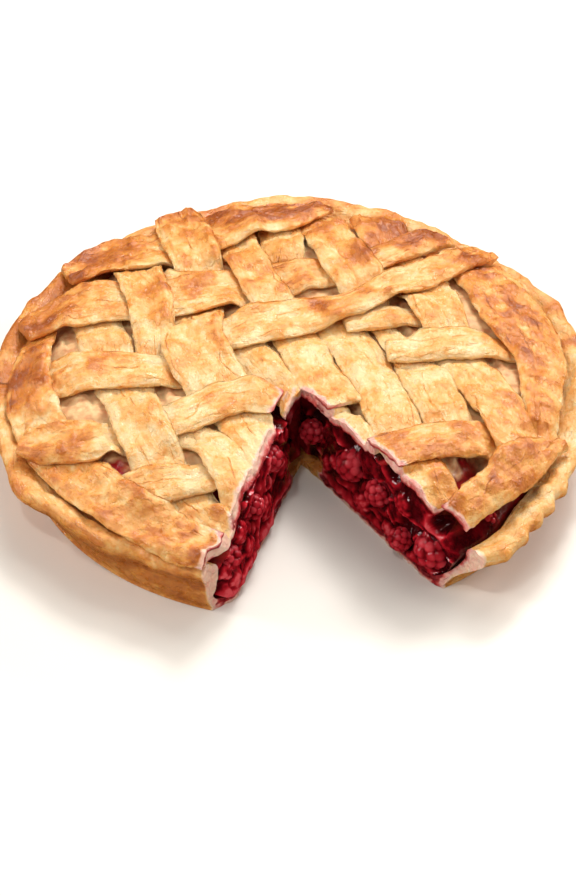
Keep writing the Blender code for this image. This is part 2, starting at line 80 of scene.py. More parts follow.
STRIP_THICKNESS = 3.2
STRIP_SINK = 2  # how far a strip is pressed down under another
STRIP_PRESSED = 0.7  # its thickness there, as a share of the whole
OUTLINE_STEP = 2.5
MARGIN = 3  # a strip is raised this far past the edge of the one below
EASE = 5  # the width of the slope beyond it
STACK_DEPTH = 3  # how many strips one over another are followed
STACK_GAP = 0.6
LEDGE_CLEARANCE = 1

ROUTES = {  # (x, y, width) at places on each strip's middle line; the nodes are called strip_...
    "down_1": ((-92, 24, 10), (-95, 12, 13), (-96, -11, 17), (-90, -33, 18), (-78, -54, 18),
        (-62, -73, 17), (-42, -88, 16), (-20, -100, 16)),
    "down_2": ((-79.5, 50, 15), (-70.5, 14, 18.5), (-60, -21, 18), (-49.5, -50, 19),
        (-37, -74, 20), (-20, -97, 20)),
    "down_3": ((-60, 54, 17), (-52.5, 27, 17), (-51, 2, 13), (-53, -15, 5), (-48, -30, 7),
        (-36, -40, 13), (-29, -47, 15), (-22, -60, 16), (-16, -74, 18), (-9, -90, 18)),
    "down_4": ((-45, 95, 18), (-41, 74, 19), (-35.5, 49, 19), (-36, 20, 20), (-36, 3, 24),
        (-28, -15, 23), (-20, -29, 19), (-13, -44, 17), (-6, -60, 17), (2, -76, 17)),
    "down_5": ((-22, 17, 14), (-15, 4, 14), (-9, -9, 14), (-1, -22, 14), (6, -34, 14)),
    "down_6": ((-23, 76, 14), (-18, 57, 15), (-11.5, 39, 16), (1, 12, 17), (6, -4, 17),
        (11, -17, 17), (17, -31, 17)),
    "down_6_tip": ((11, -26, 12), (20, -43, 13), (28, -57, 13)),
    "down_7": ((11, 30, 14), (17, 17, 17), (25, -2, 19), (31, -22, 18), (36, -41, 18),
        (42, -61, 18), (52, -80, 15)),
    "down_8": ((10, 90, 18), (17, 63, 19), (27, 39, 18), (31, 22, 9), (41, 3, 12), (47, -11, 19),
        (51, -25, 18), (57, -48, 17)),
    "down_9": ((32, 91, 22), (38, 65, 20), (49, 42, 21), (55, 23, 18), (59, 5, 18), (65, -10, 18),
        (72, -25, 20), (78, -42, 20), (82, -56, 16)),
    "down_10": ((69, 62, 22), (76, 46, 25), (84, 24, 27), (90, 6, 21), (90, -10, 16),
        (89, -26, 13), (90, -44, 6)),
    "down_top": ((-5, 82, 17), (-3, 57, 16)),
    "across_a": ((-86, 57, 15), (-68, 65, 28), (-52, 68, 32), (-22, 85, 32), (-5, 90, 27),
        (7, 97, 17), (13, 103, 9)),
    "across_b": ((-100, 22, 11), (-90, 28, 22), (-77, 32, 26), (-60, 33, 25), (-32, 36, 24),
        (-2, 46, 17), (22, 53, 14), (36, 60, 13), (48, 70, 14), (59, 80, 12)),
    "across_c": ((-38, 5, 12), (-22, 13, 19), (7, 22, 19), (20, 26, 15), (36, 37, 14),
        (50, 48, 15), (75, 73, 13)),
    "across_d": ((-91, -6, 20), (-73, -8, 20), (-46, -9, 16), (-34, -7, 13)),
    "across_d_mid": ((19, 17, 10), (34, 21, 12), (47, 25, 10)),
    "across_d_right": ((34, 1, 12), (44, 2, 14), (54, 5, 17), (65, 6, 17), (78, 7, 12),
        (85, 7, 9)),
    "across_e": ((-97, -38.5, 14), (-84, -42, 17), (-68, -43, 19), (-44, -36, 16), (-20, -24, 16),
        (-5, -28, 14)),
    "across_e_right": ((20, -64, 16), (38, -58, 18), (52, -53, 18), (66, -49, 17), (77, -45, 13)),
    "across_f": ((-68, -69, 12), (-46, -66, 16), (-22, -63, 12)),
    "across_f_right": ((44, -96, 8), (54.5, -85.5, 9), (64, -76, 11), (72, -67, 12.5),
        (80, -57, 13), (88, -47, 10), (97, -39, 4)),
}

LIES_OVER = {  # the strips that each strip lies over
    "down_1": "across_d across_f down_2",
    "down_2": "across_e",
    "down_3": "across_b across_f",
    "down_4": "across_a across_c across_d down_5",
    "down_6": "across_b down_6_tip down_top",
    "down_8": "across_b",
    "down_9": "across_e_right across_d_mid",
    "down_10": "across_d_right",
    "across_a": "down_2 down_3 down_6 down_8 down_top",
    "across_b": "down_1 down_2 down_4 down_9 down_top",
    "across_c": "down_5 down_6 down_7 down_8 down_9 down_10 across_d_mid",
    "across_d": "down_2 down_3",
    "across_d_mid": "down_7 down_8",
    "across_d_right": "down_7 down_8 down_9",
    "across_e": "down_1 down_3 down_4 down_5",
    "across_e_right": "down_6_tip down_7 down_8",
    "across_f": "down_2",
    "across_f_right": "down_7 down_9 down_10",
}

BERRIES = {  # (x, y, z, diameter)
    "berry_1": (6.9, -21.2, 17.6, 10),
    "berry_2": (21.6, -41.6, 19.8, 13),
    "berry_3": (30.5, -54.4, 18, 11),
    "berry_4": (38, -68.4, 8.5, 9.4),
    "berry_5": (49.6, -77.2, 11.9, 14.9),
    "berry_6": (-8.6, -43, 24, 11),
    "berry_7": (-14.5, -63.5, 19.5, 10),
    "berry_8": (-23, -86.5, 17, 10.5),
    "berry_9": (67, -71, 20.5, 9),
}

# --- detail of the looks ---

GRID_STEP = 0.5  # of the height maps of the weave
GRID_REACH = 124
CUT_REACH = 16  # how far from a cut the knife pressed the strips together
CUT_PRESSED = 0.56  # share of their thickness that it took there
LID_DEEPER = 2.5  # how much deeper the lid is at the cuts, where its layers baked together
SOFTNESS = 1.8  # spread of the rise and fall of a strip over the next one
FAR = 99.0  # a distance outside every strip's reach
STRIP_MESH_STEP = 0.65
EDGE_ROUND = 3.2  # rounding of a strip's upper edges
EDGE_DROP = 0.5  # share of the thickness that it takes off at the very edge
END_ROUND = 2
UPPER_GAP = 0.15  # between a strip and the one pressed on it
CRUST_TURNS = 640
CRUST_STEP = 1.1
FLAT_SPAN = 20  # a part of the crust's profile longer than this is flat
FLAT_COARSER = 2.2  # how much coarser the flat base is meshed than the wall
PLEATED = (-38, 24)  # (angle, spread) of the pleats in the rim, to the right of the slice
PLEAT_SPACING = 6.2  # in degrees
ROPED = (163, 16)  # (angle, spread) of the rim's rope-like part
PALE_RIM = (-30, 30)  # (angle, spread) of its palest part
FILLING_TURNS = 420
FILLING_STEP = 1.5
FILLING_DROP = 0.5  # from the lid to the fruit under it
FLOOR_GAP = 0.15  # from the fruit to the crust under it
FILLING_EDGE = 19  # the height of the fruit at the wall
FILLING_SLOPE = 0.9  # its steepest rise from there
FILLING_INSET = 12  # of the fruit's edge from the rim
PASTRY_CUT = {"step": 0.8, "low": -4, "high": 56}  # mesh of the missing slice's cut faces
FRUIT_CUT = {"step": 0.55, "low": -4, "high": 52}
LEFT_SLANT = 1.6  # how far the left cut leans back under the lid
LID_SLANT = 2.4  # how much further it leans back at the lid
RIGHT_OVERHANG = 1.2  # how far the lid stands out at the right cut
LEFT_WALL_SETBACK = 6.6  # how far the cuts curve back at the crust's wall
RIGHT_WALL_SETBACK = 3.2  # at its foot, and the same again from 9 mm up
FRUIT_SLANT = 1.2
FRUIT_WALL_SETBACK = {"right": 3, "left": 6}
FRUIT_APEX_SHIFT = 6  # the fruit slumped back from the slice's tip, off the base crust
WALL_THINNER = {"right": 1.6, "left": 3}
SEAT_DEPTH = 1.6  # of the dip in the fruit round a whole berry
CUT_FACE_REACH = 11  # points this near to a cut's flat plane lie on its face
BARE_LEDGE = 9  # of dry pastry at the slice's tip, from which the fruit slumped back
DAMP_DOUGH = 0.19  # juice in the pale dough of every cut face
APEX_REACH = 5  # from the slice's tip to where the relief has its full depth
MOST_BROWNED = 0.5
DRUPELETS = 34  # on a whole berry
GOLDEN_TURN = 2.39996  # between one drupelet of a crushed berry and the next
BERRY_CORE = 0.8  # share of a berry's radius under its drupelets

# Places that baked darker: (x, y, radius, strength).
BROWNED = (
    (-83, 52, 8, 0.42), (-69, 60, 6, 0.2), (-58, 57, 6, 0.22), (-95, 22, 8, 0.42),
    (-85, 29, 8, 0.2), (-51, 33, 7, 0.32), (-38, 38, 8, 0.34), (-36, 33, 4, 0.2),
    (-72, -3, 7, 0.34), (-94, 8, 7, 0.3), (-98, -8, 9, 0.4), (-91, -46, 6, 0.25),
    (-84, -36, 4, 0.15), (-28, -28, 10, 0.12), (-48, -86, 9, 0.26), (-31, -97, 7, 0.5),
    (-64, -76, 8, 0.2), (-70, -70, 6, 0.22), (-13, 86, 13, 0.5), (-1, 88, 11, 0.45),
    (-25, 88, 11, 0.4), (-24, 76, 7, 0.15), (13, 95, 5, 0.35), (14, 80, 7, 0.34),
    (23, 59, 6, 0.16), (27, 52, 6, 0.16), (-10, 48, 5, 0.3), (-16, 40, 4, 0.2), (41, 84, 9, 0.5),
    (52, 80, 7, 0.4), (9, 25, 6, 0.5), (-6, 28, 5, 0.18), (-34, 22, 3, 0.3), (-30, 13, 3, 0.25),
    (27, 35, 6, 0.3), (4, 47, 6, 0.18), (47, 74, 9, 0.4), (56, 70, 7, 0.35), (68, 58, 6, 0.42),
    (74, 50, 6, 0.35), (74, 32, 5, 0.3), (84, 30, 9, 0.4), (82, 12, 9, 0.34), (88, 0, 7, 0.3),
    (75, 12, 3, 0.22), (84, -44, 5, 0.12), (60, -50, 8, 0.16), (38, -58, 13, 0.12),
    (55, -53, 12, 0.1), (-9, -18, 5, 0.14), (12, -24, 6, 0.2), (50, -64, 5, 0.12),
    (36, 69, 11, 0.5), (45, 67, 9, 0.4), (55, 78, 8, 0.4), (35, 84, 8, 0.3), (7, 98, 7, 0.25),
    (-3, 93, 9, 0.2), (-12, 96, 10, 0.3), (4, 100, 8, 0.3), (-77, 64, 9, 0.18), (-62, 71, 9, 0.2),
    (-84, 66, 6, 0.2), (70, 61, 6, 0.3), (77, 34, 9, 0.2), (-95, -16, 10, 0.1),
    (-100, -2, 8, 0.25))
RIM_BROWNED = (  # (angle, spread, strength) on the crust's own rim
    (130, 12, 0.25), (108, 9, 0.3), (84, 8, 0.35), (68, 7, 0.2), (23, 4, 0.5), (12, 3, 0.5),
    (150, 12, 0.5), (166, 10, 0.5), (180, 8, 0.4), (228, 6, 0.15))
# Gaps in the lattice that show red fruit, where the others show a baked film: (x, y, radius).
RED_GAPS = ((-63, -56, 6), (68, -72, 13), (55, -82, 10), (-26, -70, 6), (80, -60, 9),
    (60, -60, 4), (-30, -60, 5), (14, -30, 8))

CRUSHED = {  # crushed berries in each cut face: (along the cut, height, radius)
    "right": ((14, 10.5, 3.2), (36, 7.5, 4.2), (60, 24, 4.6), (69, 11, 4.4), (52, 6.5, 3.4),
              (20, 15, 2.6)),
    "left": ((18, 15, 5), (38, 12, 5), (58, 10, 4.5), (64, 22, 4.5), (72, 8, 3.5), (14, 26, 3.5),
             (30, 26, 4), (76, 15, 3.5), (48, 21, 3.5))}
HOLLOWS = {  # (along the cut, height, radius, depth)
    "right": ((5, 5, 7, 2.6), (5, 29, 10, 9), (77, 26, 5, 7), (41, 14, 6, 3), (62, 16, 5, 3),
              (28, 30, 6, 4), (53, 34, 5, 4)),
    "left": ((6, 5, 7, 2.6), (5, 27, 9, 8), (27, 19, 5, 4), (52, 15, 4, 3), (8, 15, 6, 4),
             (70, 15, 3.5, 2.5), (42, 27, 5, 3))}

LIGHTS = {  # (place, size, watts, colour, whether it shows in reflections)
    "window": ((350, 650, 1450), 1000, 12.4, (1, 0.985, 0.96), True),
    "sky_gap": ((250, 800, 1100), 340, 9, (1, 0.99, 0.97), True),
    "left_fill": ((-1000, -900, 950), 900, 4.4, (1, 0.98, 0.95), False),
    "right_fill": ((1100, -350, 700), 700, 3.2, (1, 0.98, 0.95), False),
    "lamp": ((-260, -500, 1150), 90, 2.2, (1, 0.98, 0.94), True),
    "left_glint": ((-1000, 60, 480), 190, 4.2, (1, 0.98, 0.95), True),
    "right_glint": ((850, 480, 470), 200, 3.6, (1, 0.98, 0.95), True)}
LIGHT_TARGET = (0, -20, 20)
WORLD_COLOUR = (1, 0.985, 0.96, 1)
WORLD_STRENGTH = 0.31
FLOOR_REACH = 3000

CAMERA_TARGET = (-1.78, -37.43, 24)
CAMERA_DISTANCE = 1072.7
CAMERA_ELEVATION = 41.5
CAMERA_LENS = 120.5  # on a 36 mm sensor, for a 576 x 896 image


# --- noise and maths ---

def smooth(low, high, value):
    """A soft step from 0 at low to 1 at high."""
    part = np.clip((value - low) / (high - low), 0, 1)
    return part * part * (3 - 2 * part)


def fade(low, high, value):
    return 1 - smooth(low, high, value)


NOISE_SIZE = 32
NOISE = np.random.default_rng(7).uniform(-1, 1, (NOISE_SIZE,) * 3)


def value_noise(points):
    """Smooth random values between -1 and 1, one for each row of points."""
    base = np.floor(points).astype(int)
    part = points - base
    part = part * part * (3 - 2 * part)
    total = np.zeros(len(points))
    for corner in np.ndindex(2, 2, 2):
        weight = np.prod(np.where(corner, part, 1 - part), axis=1)
        cell = (base + corner) % NOISE_SIZE
        total += weight * NOISE[cell[:, 0], cell[:, 1], cell[:, 2]]
    return total


def fractal(points, size, octaves, shift):
    """Noise with finer and fainter layers, the coarsest of the given size."""
    total = np.zeros(len(points))
    strength = 1
    for _ in range(octaves):
        total += strength * value_noise(points / size + shift)
        size, strength, shift = size / 2.1, strength / 2, shift + 11.3
    return total


def stacked(x, y, z=None):
    return np.stack((x, y, np.zeros_like(x) if z is None else z), axis=1)


def seed_of(node):
    return sum(map(ord, node))


# --- surfaces of the pie ---

def swelling(place, x, y):
    reach = (x - place["x"]) ** 2 + (y - place["y"]) ** 2
    return place["height"] * np.exp(-reach / (2 * place["spread"] ** 2))


def crown(x, y):
    """Height of the surface that the lattice lies on."""
    fall = CROWN_FALL * (np.minimum(np.hypot(x, y), RIM_RADIUS) / CROWN_RADIUS) ** CROWN_POWER
    return CROWN_HEIGHT - fall + swelling(SHOULDER, x, y) + swelling(SLACK, x, y)


def bearing(x, y):
    return np.degrees(np.arctan2(y, x))


def around(angle, middle, spread):
    """1 at a place on the rim, softly less to both sides."""
    return np.exp(-((angle - middle) / spread) ** 2)


def rim_radius(angle):
    angles, radii = np.array(RIM_OUTLINE, float).T
    angles = np.concatenate((angles - 360, angles, angles + 360))
    radii = np.tile(radii, 3)
    spot = np.clip(np.searchsorted(angles, angle) - 1, 0, len(angles) - 2)
    part = smooth(angles[spot], angles[spot + 1], angle)
    return radii[spot] + (radii[spot + 1] - radii[spot]) * part


def rim_wave(angle):
    turn = np.radians(angle)
    return RIM_ROLL * (0.6 * np.sin(5 * turn + 0.8) + 0.4 * np.sin(11 * turn + 2.1))


def flare(z):
    """How much of the uneven rim's outline the wall has reached at a height."""
    return smooth(3, 19, z)


def on_roll(radius):
    return smooth(RIM_RADIUS - 9, RIM_RADIUS - 5, radius)


def ledge_height(x, y):
    """Top of the crust's rim under a point, or far below where there is no rim."""
    angle = bearing(x, y)
    nominal = np.hypot(x, y) - (rim_radius(angle) - RIM_RADIUS)
    inset, top = np.array(RIM_TOP[::-1]).T
    height = np.interp(nominal, RIM_RADIUS - inset, top)
    height = height + rim_wave(angle) * on_roll(nominal)
    return np.where(nominal < RIM_RADIUS - inset.max() - 2, -50, height)


def spline(points, step, longest=math.inf):
    """A curve through points, sampled about every step; longer parts than the longest are flat."""
    points = np.array(points, float)
    padded = np.vstack((2 * points[0] - points[1], points, 2 * points[-1] - points[-2]))
    samples = []
    for index in range(len(points) - 1):
        a, b, c, d = padded[index:index + 4]
        length = np.linalg.norm((c - b)[:2])
        flat = length > longest
        count = max(1, round(length / (FLAT_COARSER * step if flat else step)))
        for t in np.arange(count) / count:
            curved = 0.5 * (2 * b + (c - a) * t + (2 * a - 5 * b + 4 * c - d) * t ** 2
                            + (3 * b - a - 3 * c + d) * t ** 3)
            samples.append(b + (c - b) * t if flat else curved)
    samples.append(points[-1])
    return np.array(samples)


def course(line):
    """Distance travelled and direction at each point of a line."""
    steps = np.linalg.norm(np.diff(line[:, :2], axis=0), axis=1)
    slope = np.gradient(line[:, :2], axis=0)
    return (np.concatenate(([0.0], np.cumsum(steps))),
            slope / np.linalg.norm(slope, axis=1)[:, None])


def beside_line(line, x, y):
    """Distance from points to a strip's outline, and their place along and across it."""
    offset_x = x[:, None] - line[None, :, 0]
    offset_y = y[:, None] - line[None, :, 1]
    reach = np.hypot(offset_x, offset_y)
    nearest = reach.argmin(axis=1)
    rows = np.arange(len(x))
    outside = reach[rows, nearest] - line[nearest, 2] / 2
    for end, inner in ((0, 1), (len(line) - 1, len(line) - 2)):
        tangent = line[end, :2] - line[inner, :2]
        tangent = tangent / np.linalg.norm(tangent)
        past = offset_x[:, end] * tangent[0] + offset_y[:, end] * tangent[1]
        side = np.abs(offset_y[:, end] * tangent[0] - offset_x[:, end] * tangent[1])
        at_end = (nearest == end) & (past > 0)
        outside = np.where(at_end, np.maximum(past, side - line[end, 2] / 2), outside)
    travelled, slope = course(line)
    dx, dy = offset_x[rows, nearest], offset_y[rows, nearest]
    along = travelled[nearest] + dx * slope[nearest, 0] + dy * slope[nearest, 1]
    across = dy * slope[nearest, 0] - dx * slope[nearest, 1]
    return outside, along, across


# --- the two cuts ---

def side_vectors(side):
    """Direction along a cut, and the one from it into the pie."""
    angle = math.radians(SLICE_ANGLE[side])
    along = np.array([math.cos(angle), math.sin(angle)])
    inward = np.array([-along[1], along[0]])
    return along, inward if side == "right" else -inward


def cut_places(x, y):
    """For each side of the slice: how far along the cut and how deep in the pie a point is."""
    dx, dy = x - SLICE_APEX[0], y - SLICE_APEX[1]
    places = {}
    for side in ("right", "left"):
        along, inward = side_vectors(side)
        places[side] = (dx * along[0] + dy * along[1], dx * inward[0] + dy * inward[1])
    return places


def by_left_cut(x):
    """1 to the left of the slice's tip, 0 to its right."""
    return smooth(2, -3, x - SLICE_APEX[0])


def pastry_setback(side, along, height):
    """How far the pastry was cut back from the flat face: the lid slants, the wall curves away."""
    wall = smooth(*WALL_CURVE[side], along)
    if side == "left":
        direction, _ = side_vectors(side)
        lid = height - crown(SLICE_APEX[0] + along * direction[0],
                             SLICE_APEX[1] + along * direction[1])
        slant = LEFT_SLANT * smooth(3, 30, height) + LID_SLANT * smooth(-1.6, 3.4, lid)
        return np.maximum(slant, LEFT_WALL_SETBACK * wall)
    overhang = RIGHT_OVERHANG * smooth(30, 38, height) * smooth(12, 30, along)
    return (overhang * (wall - 1)
            + wall * (RIGHT_WALL_SETBACK + RIGHT_WALL_SETBACK * smooth(0, 9, height)))


def fruit_setback(side, along, height):
    """The same for the fruit, which slumped out a little further than the lid."""
    setback = FRUIT_WALL_SETBACK[side] * smooth(*WALL_CURVE[side], along)
    if side == "left":
        setback = np.maximum(FRUIT_SLANT * smooth(4, 28, height), setback)
    return setback


def near_cut(x, y, z):
    """Distance from points in the pie to the nearer cut face of the pastry."""
    distance = np.full(len(x), FAR)
    for side, (along, depth) in cut_places(x, y).items():
        depth = depth - pastry_setback(side, along, z)
        distance = np.minimum(distance, np.hypot(depth, np.minimum(along, 0)))
    return distance


def near_apex(x, y):
    """How far points lie from the slice's tip, less the dry ledge of pastry that shows there."""
    return np.hypot(x - SLICE_APEX[0], y - SLICE_APEX[1]) - BARE_LEDGE


# --- height maps of the weave ---

AXIS = np.arange(-GRID_REACH, GRID_REACH + GRID_STEP / 2, GRID_STEP)
GRID_X, GRID_Y = np.meshgrid(AXIS, AXIS, indexing="ij")


@functools.cache
def outside_map(name):
    """Distance to a strip's outline over the whole grid, FAR where it is out of reach."""
    line = spline(ROUTES[name], OUTLINE_STEP)
    reach = line[:, 2].max() / 2 + MARGIN + EASE + 2
    low, high = line.min(axis=0) - reach, line.max(axis=0) + reach
    window = (GRID_X > low[0]) & (GRID_X < high[0]) & (GRID_Y > low[1]) & (GRID_Y < high[1])
    distance = np.full(GRID_X.shape, FAR)
    distance[window] = beside_line(line, GRID_X[window], GRID_Y[window])[0]
    return distance


@functools.cache
def nearness_map(name):
    return fade(MARGIN, MARGIN + EASE, outside_map(name))


def strips_over(name):
    return [other for other, below in LIES_OVER.items() if name in below.split()]


def strips_under(name):
    return LIES_OVER.get(name, "").split()


@functools.cache
def covered_map(name):
    cover = np.zeros_like(GRID_X)
    for other in strips_over(name):
        cover = np.maximum(cover, nearness_map(other))
    return cover


def thickness_map(name):
    return STRIP_THICKNESS * (1 - (1 - STRIP_PRESSED) * covered_map(name))


@functools.cache
def crown_map():
    return crown(GRID_X, GRID_Y)


@functools.cache
def ledge_map():
    return ledge_height(GRID_X, GRID_Y)


def softened(grid, spread):
    """A grid blurred over the given spread, as soft dough follows what lies under it."""
    reach = np.arange(-int(3 * spread / GRID_STEP), int(3 * spread / GRID_STEP) + 1)
    weights = np.exp(-0.5 * (reach * GRID_STEP / spread) ** 2)
    weights = weights / weights.sum()
    for axis in (0, 1):
        padded = np.concatenate((np.take(grid, [0] * reach[-1], axis), grid,
                                 np.take(grid, [-1] * reach[-1], axis)), axis)
        blurred = np.zeros_like(grid)
        for index, weight in enumerate(weights):
            blurred += weight * np.take(padded, np.arange(index, index + grid.shape[axis]), axis)
        grid = blurred
    return grid


@functools.cache
def by_cut_map():
    """1 at the two cut faces, 0 well inside the pie."""
    x, y = GRID_X.ravel(), GRID_Y.ravel()
    distance = near_cut(x, y, np.full(len(x), LID_HEIGHT)).reshape(GRID_X.shape)
    return fade(0, CUT_REACH, distance)


@functools.cache
def deeper_map(name):
    """How far the underside reaches down at the cuts, where no other strip lies below."""
    free = np.ones_like(GRID_X)
    for lower in strips_under(name):
        free = np.minimum(free, 1 - nearness_map(lower))
    return LID_DEEPER * by_cut_map() * free


@functools.cache
def underside_map(name, depth=0):
    """Height of a strip's underside: pressed down under a strip, lifted over one."""
    height = crown_map() - STRIP_SINK * covered_map(name)
    if depth < STACK_DEPTH:
        for lower in strips_under(name):
            top = underside_map(lower, depth + 1) + thickness_map(lower) + STACK_GAP
            height = np.maximum(height, height + (top - height) * nearness_map(lower))
    return np.maximum(height, ledge_map() + LEDGE_CLEARANCE)


@functools.cache
def soft_underside_map(name):
    """Underside of a strip as it is modelled, pressed together with the others by the cuts."""
    raised = thickness_map(name) * CUT_PRESSED * by_cut_map() - deeper_map(name)
    soft = softened(underside_map(name) + raised, SOFTNESS)
    return np.maximum(soft, ledge_map() + LEDGE_CLEARANCE)


@functools.cache
def soft_thickness_map(name):
    thickness = thickness_map(name) * (1 - CUT_PRESSED * by_cut_map()) + deeper_map(name)
    return softened(thickness, SOFTNESS)


@functools.cache
def ceiling_map():
    """The highest that the fruit may reach, just under every strip and the crown between them."""
    ceiling = crown_map()
    for name in ROUTES:
        under = outside_map(name) < 4
        ceiling = np.where(under, np.minimum(ceiling, soft_underside_map(name)), ceiling)
    return ceiling - FILLING_DROP


def sample(grid, x, y):
    """Read a grid between its points."""
    column = np.clip((x + GRID_REACH) / GRID_STEP, 0, len(AXIS) - 1.001)
    row = np.clip((y + GRID_REACH) / GRID_STEP, 0, len(AXIS) - 1.001)
    i, j = column.astype(int), row.astype(int)
    s, t = column - i, row - j
    return ((grid[i, j] * (1 - s) + grid[i + 1, j] * s) * (1 - t)
            + (grid[i, j + 1] * (1 - s) + grid[i + 1, j + 1] * s) * t)


def strip_levels(name, x, y):
    """Heights of a strip's underside and top before other strips press on it."""
    bottom = sample(soft_underside_map(name), x, y)
    return bottom, bottom + sample(soft_thickness_map(name), x, y)


# --- meshes ---

def bridge(here, there):
    """Four-sided faces between two rows of points."""
    return np.stack((here[:-1], here[1:], there[1:], there[:-1]), axis=1).tolist()


def loft_faces(rings, ring_size):
    """Faces of a closed skin over equal rings of points."""
    first = np.arange(ring_size)
    ring = np.append(first, 0)
    faces = []
    for index in range(rings - 1):
        faces += bridge(ring + index * ring_size, ring + (index + 1) * ring_size)
    return faces + [first[::-1].tolist(), (first + (rings - 1) * ring_size).tolist()]


def revolve(profile, turns):
    """A profile of (radius, height) points turned round the pie's axis, its ends on the axis."""
    angle = np.arange(turns) * 2 * math.pi / turns
    inner = profile[1:-1]
    x = np.cos(angle)[:, None] * inner[None, :, 0]
    y = np.sin(angle)[:, None] * inner[None, :, 0]
    z = np.broadcast_to(inner[None, :, 1], x.shape)
    points = np.stack((x, y, z), axis=2).reshape(-1, 3)
    count = len(inner)
    row = np.arange(count)
    starts = [(index * count, (index + 1) % turns * count) for index in range(turns)]
    faces = []
    for here, there in starts:
        faces += bridge(row + here, row + there)
    bottom, top = len(points), len(points) + 1
    for here, there in starts:
        faces += [[bottom, here, there], [top, there + count - 1, here + count - 1]]
    return np.vstack((points, (0, 0, profile[0][1]), (0, 0, profile[-1][1]))), faces


def mesh_object(name, points, faces):
    """A mesh object from points in millimetres, its faces turned outward."""
    data = bpy.data.meshes.new(name)
    data.from_pydata((np.asarray(points) * MM).tolist(), [], faces)
    mesh = bmesh.new()
    mesh.from_mesh(data)
    bmesh.ops.recalc_face_normals(mesh, faces=mesh.faces)
    mesh.to_mesh(data)
    mesh.free()
    return linked(name, data)


def linked(name, data):
    obj = bpy.data.objects.new(name, data)
    bpy.context.scene.collection.objects.link(obj)
    return obj


def points_of(obj):
    flat = np.empty(len(obj.data.vertices) * 3)
    obj.data.vertices.foreach_get("co", flat)
    return flat.reshape(-1, 3) / MM


def cut_away(obj, cutter):
    """Subtract a cutter from a piece for good."""
    modifier = obj.modifiers.new("cut", "BOOLEAN")
    modifier.operation = "DIFFERENCE"
    modifier.object = cutter
    modifier.solver = "MANIFOLD"
    graph = bpy.context.evaluated_depsgraph_get()
    graph.update()
    data = bpy.data.meshes.new_from_object(obj.evaluated_get(graph))
    obj.modifiers.clear()
    obj.data = data


def paint(obj, grain=None, **shares):
    """Store shares between 0 and 1, and the place in the grain, at each point of a piece."""
    for name, values in shares.items():
        layer = obj.data.attributes.new(name, "FLOAT", "POINT")
        layer.data.foreach_set("value", np.clip(values, 0, 1).astype(np.float32))
    if grain is not None:
        layer = obj.data.attributes.new("grain", "FLOAT_VECTOR", "POINT")
        layer.data.foreach_set("vector", grain.astype(np.float32).ravel())


def place(obj, node, slot, material, sharp_from=60):
    """Stand a finished piece in a node's place."""
    obj.data.materials.clear()  # a cut leaves an empty slot
    obj.data.materials.append(material)
    obj.data.shade_smooth()
    obj.data.set_sharp_from_angle(angle=math.radians(sharp_from))
    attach(obj, "root")
    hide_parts(node)


# --- the missing slice ---

def wedge(name, relief, step, low, high, apex_shift=0):
    """The missing slice as a solid whose two faces carry a relief (side, along, height)."""
    apex = np.array(SLICE_APEX) + (0, apex_shift)
    along = np.arange(0, SLICE_REACH, step)
    rings = []
    for height in np.arange(low, high, step):
        level = np.full(len(along), height)
        for side, order in (("right", slice(None)), ("left", slice(None, 0, -1))):
            direction, inward = side_vectors(side)
            depth = relief(side, along, level) * smooth(0, APEX_REACH, along)
            flat = apex + along[:, None] * direction - depth[:, None] * inward
            rings.append(np.column_stack((flat, level))[order])
    ring_size = len(rings[0]) + len(rings[1])
    return mesh_object(name, np.vstack(rings), loft_faces(len(rings) // 2, ring_size))


def pastry_relief(side, along, height):
    """Slightly ragged, crumbly cut through the pastry; positive stands out of the face."""
    shift = 3.1 if side == "right" else 47.7
    points = stacked(along, height)
    ragged = 0.45 * fractal(points, 5, 2, shift) + 0.3 * fractal(points, 1.8, 2, shift + 5)
    return ragged - pastry_setback(side, along, height)


def bump_over(height, along, level, centre, radius, sink):
    """Raise a relief to a ball that stands out of it."""
    reach = (along - centre[0]) ** 2 + (level - centre[1]) ** 2
    ball = np.sqrt(np.maximum(radius ** 2 - reach, 0)) - sink
    return np.where(reach < radius ** 2, np.maximum(height, ball), height)


def drupelet_spots(centre, radius, seed):
    """Places of the beads on the shown half of a crushed berry."""
    source = np.random.default_rng(seed)
    count = int(9 + radius * 3)
    spots = []
    for index in range(count):
        spread = math.sqrt((index + 0.5) / count) * 0.95
        turn = index * GOLDEN_TURN + source.uniform(-0.2, 0.2)
        spots.append((centre[0] + spread * radius * math.cos(turn),
                      centre[1] + spread * radius * math.sin(turn), spread))
    return spots


@functools.cache
def berry_seats(side):
    """The whole berries at a cut face: (along the cut, height, radius)."""
    seats = []
    for x, y, z, diameter in BERRIES.values():
        along, depth = cut_places(np.array([x]), np.array([y]))[side]
        if abs(depth[0]) < diameter:
            seats.append((along[0], z, diameter / 2))
    return tuple(seats)


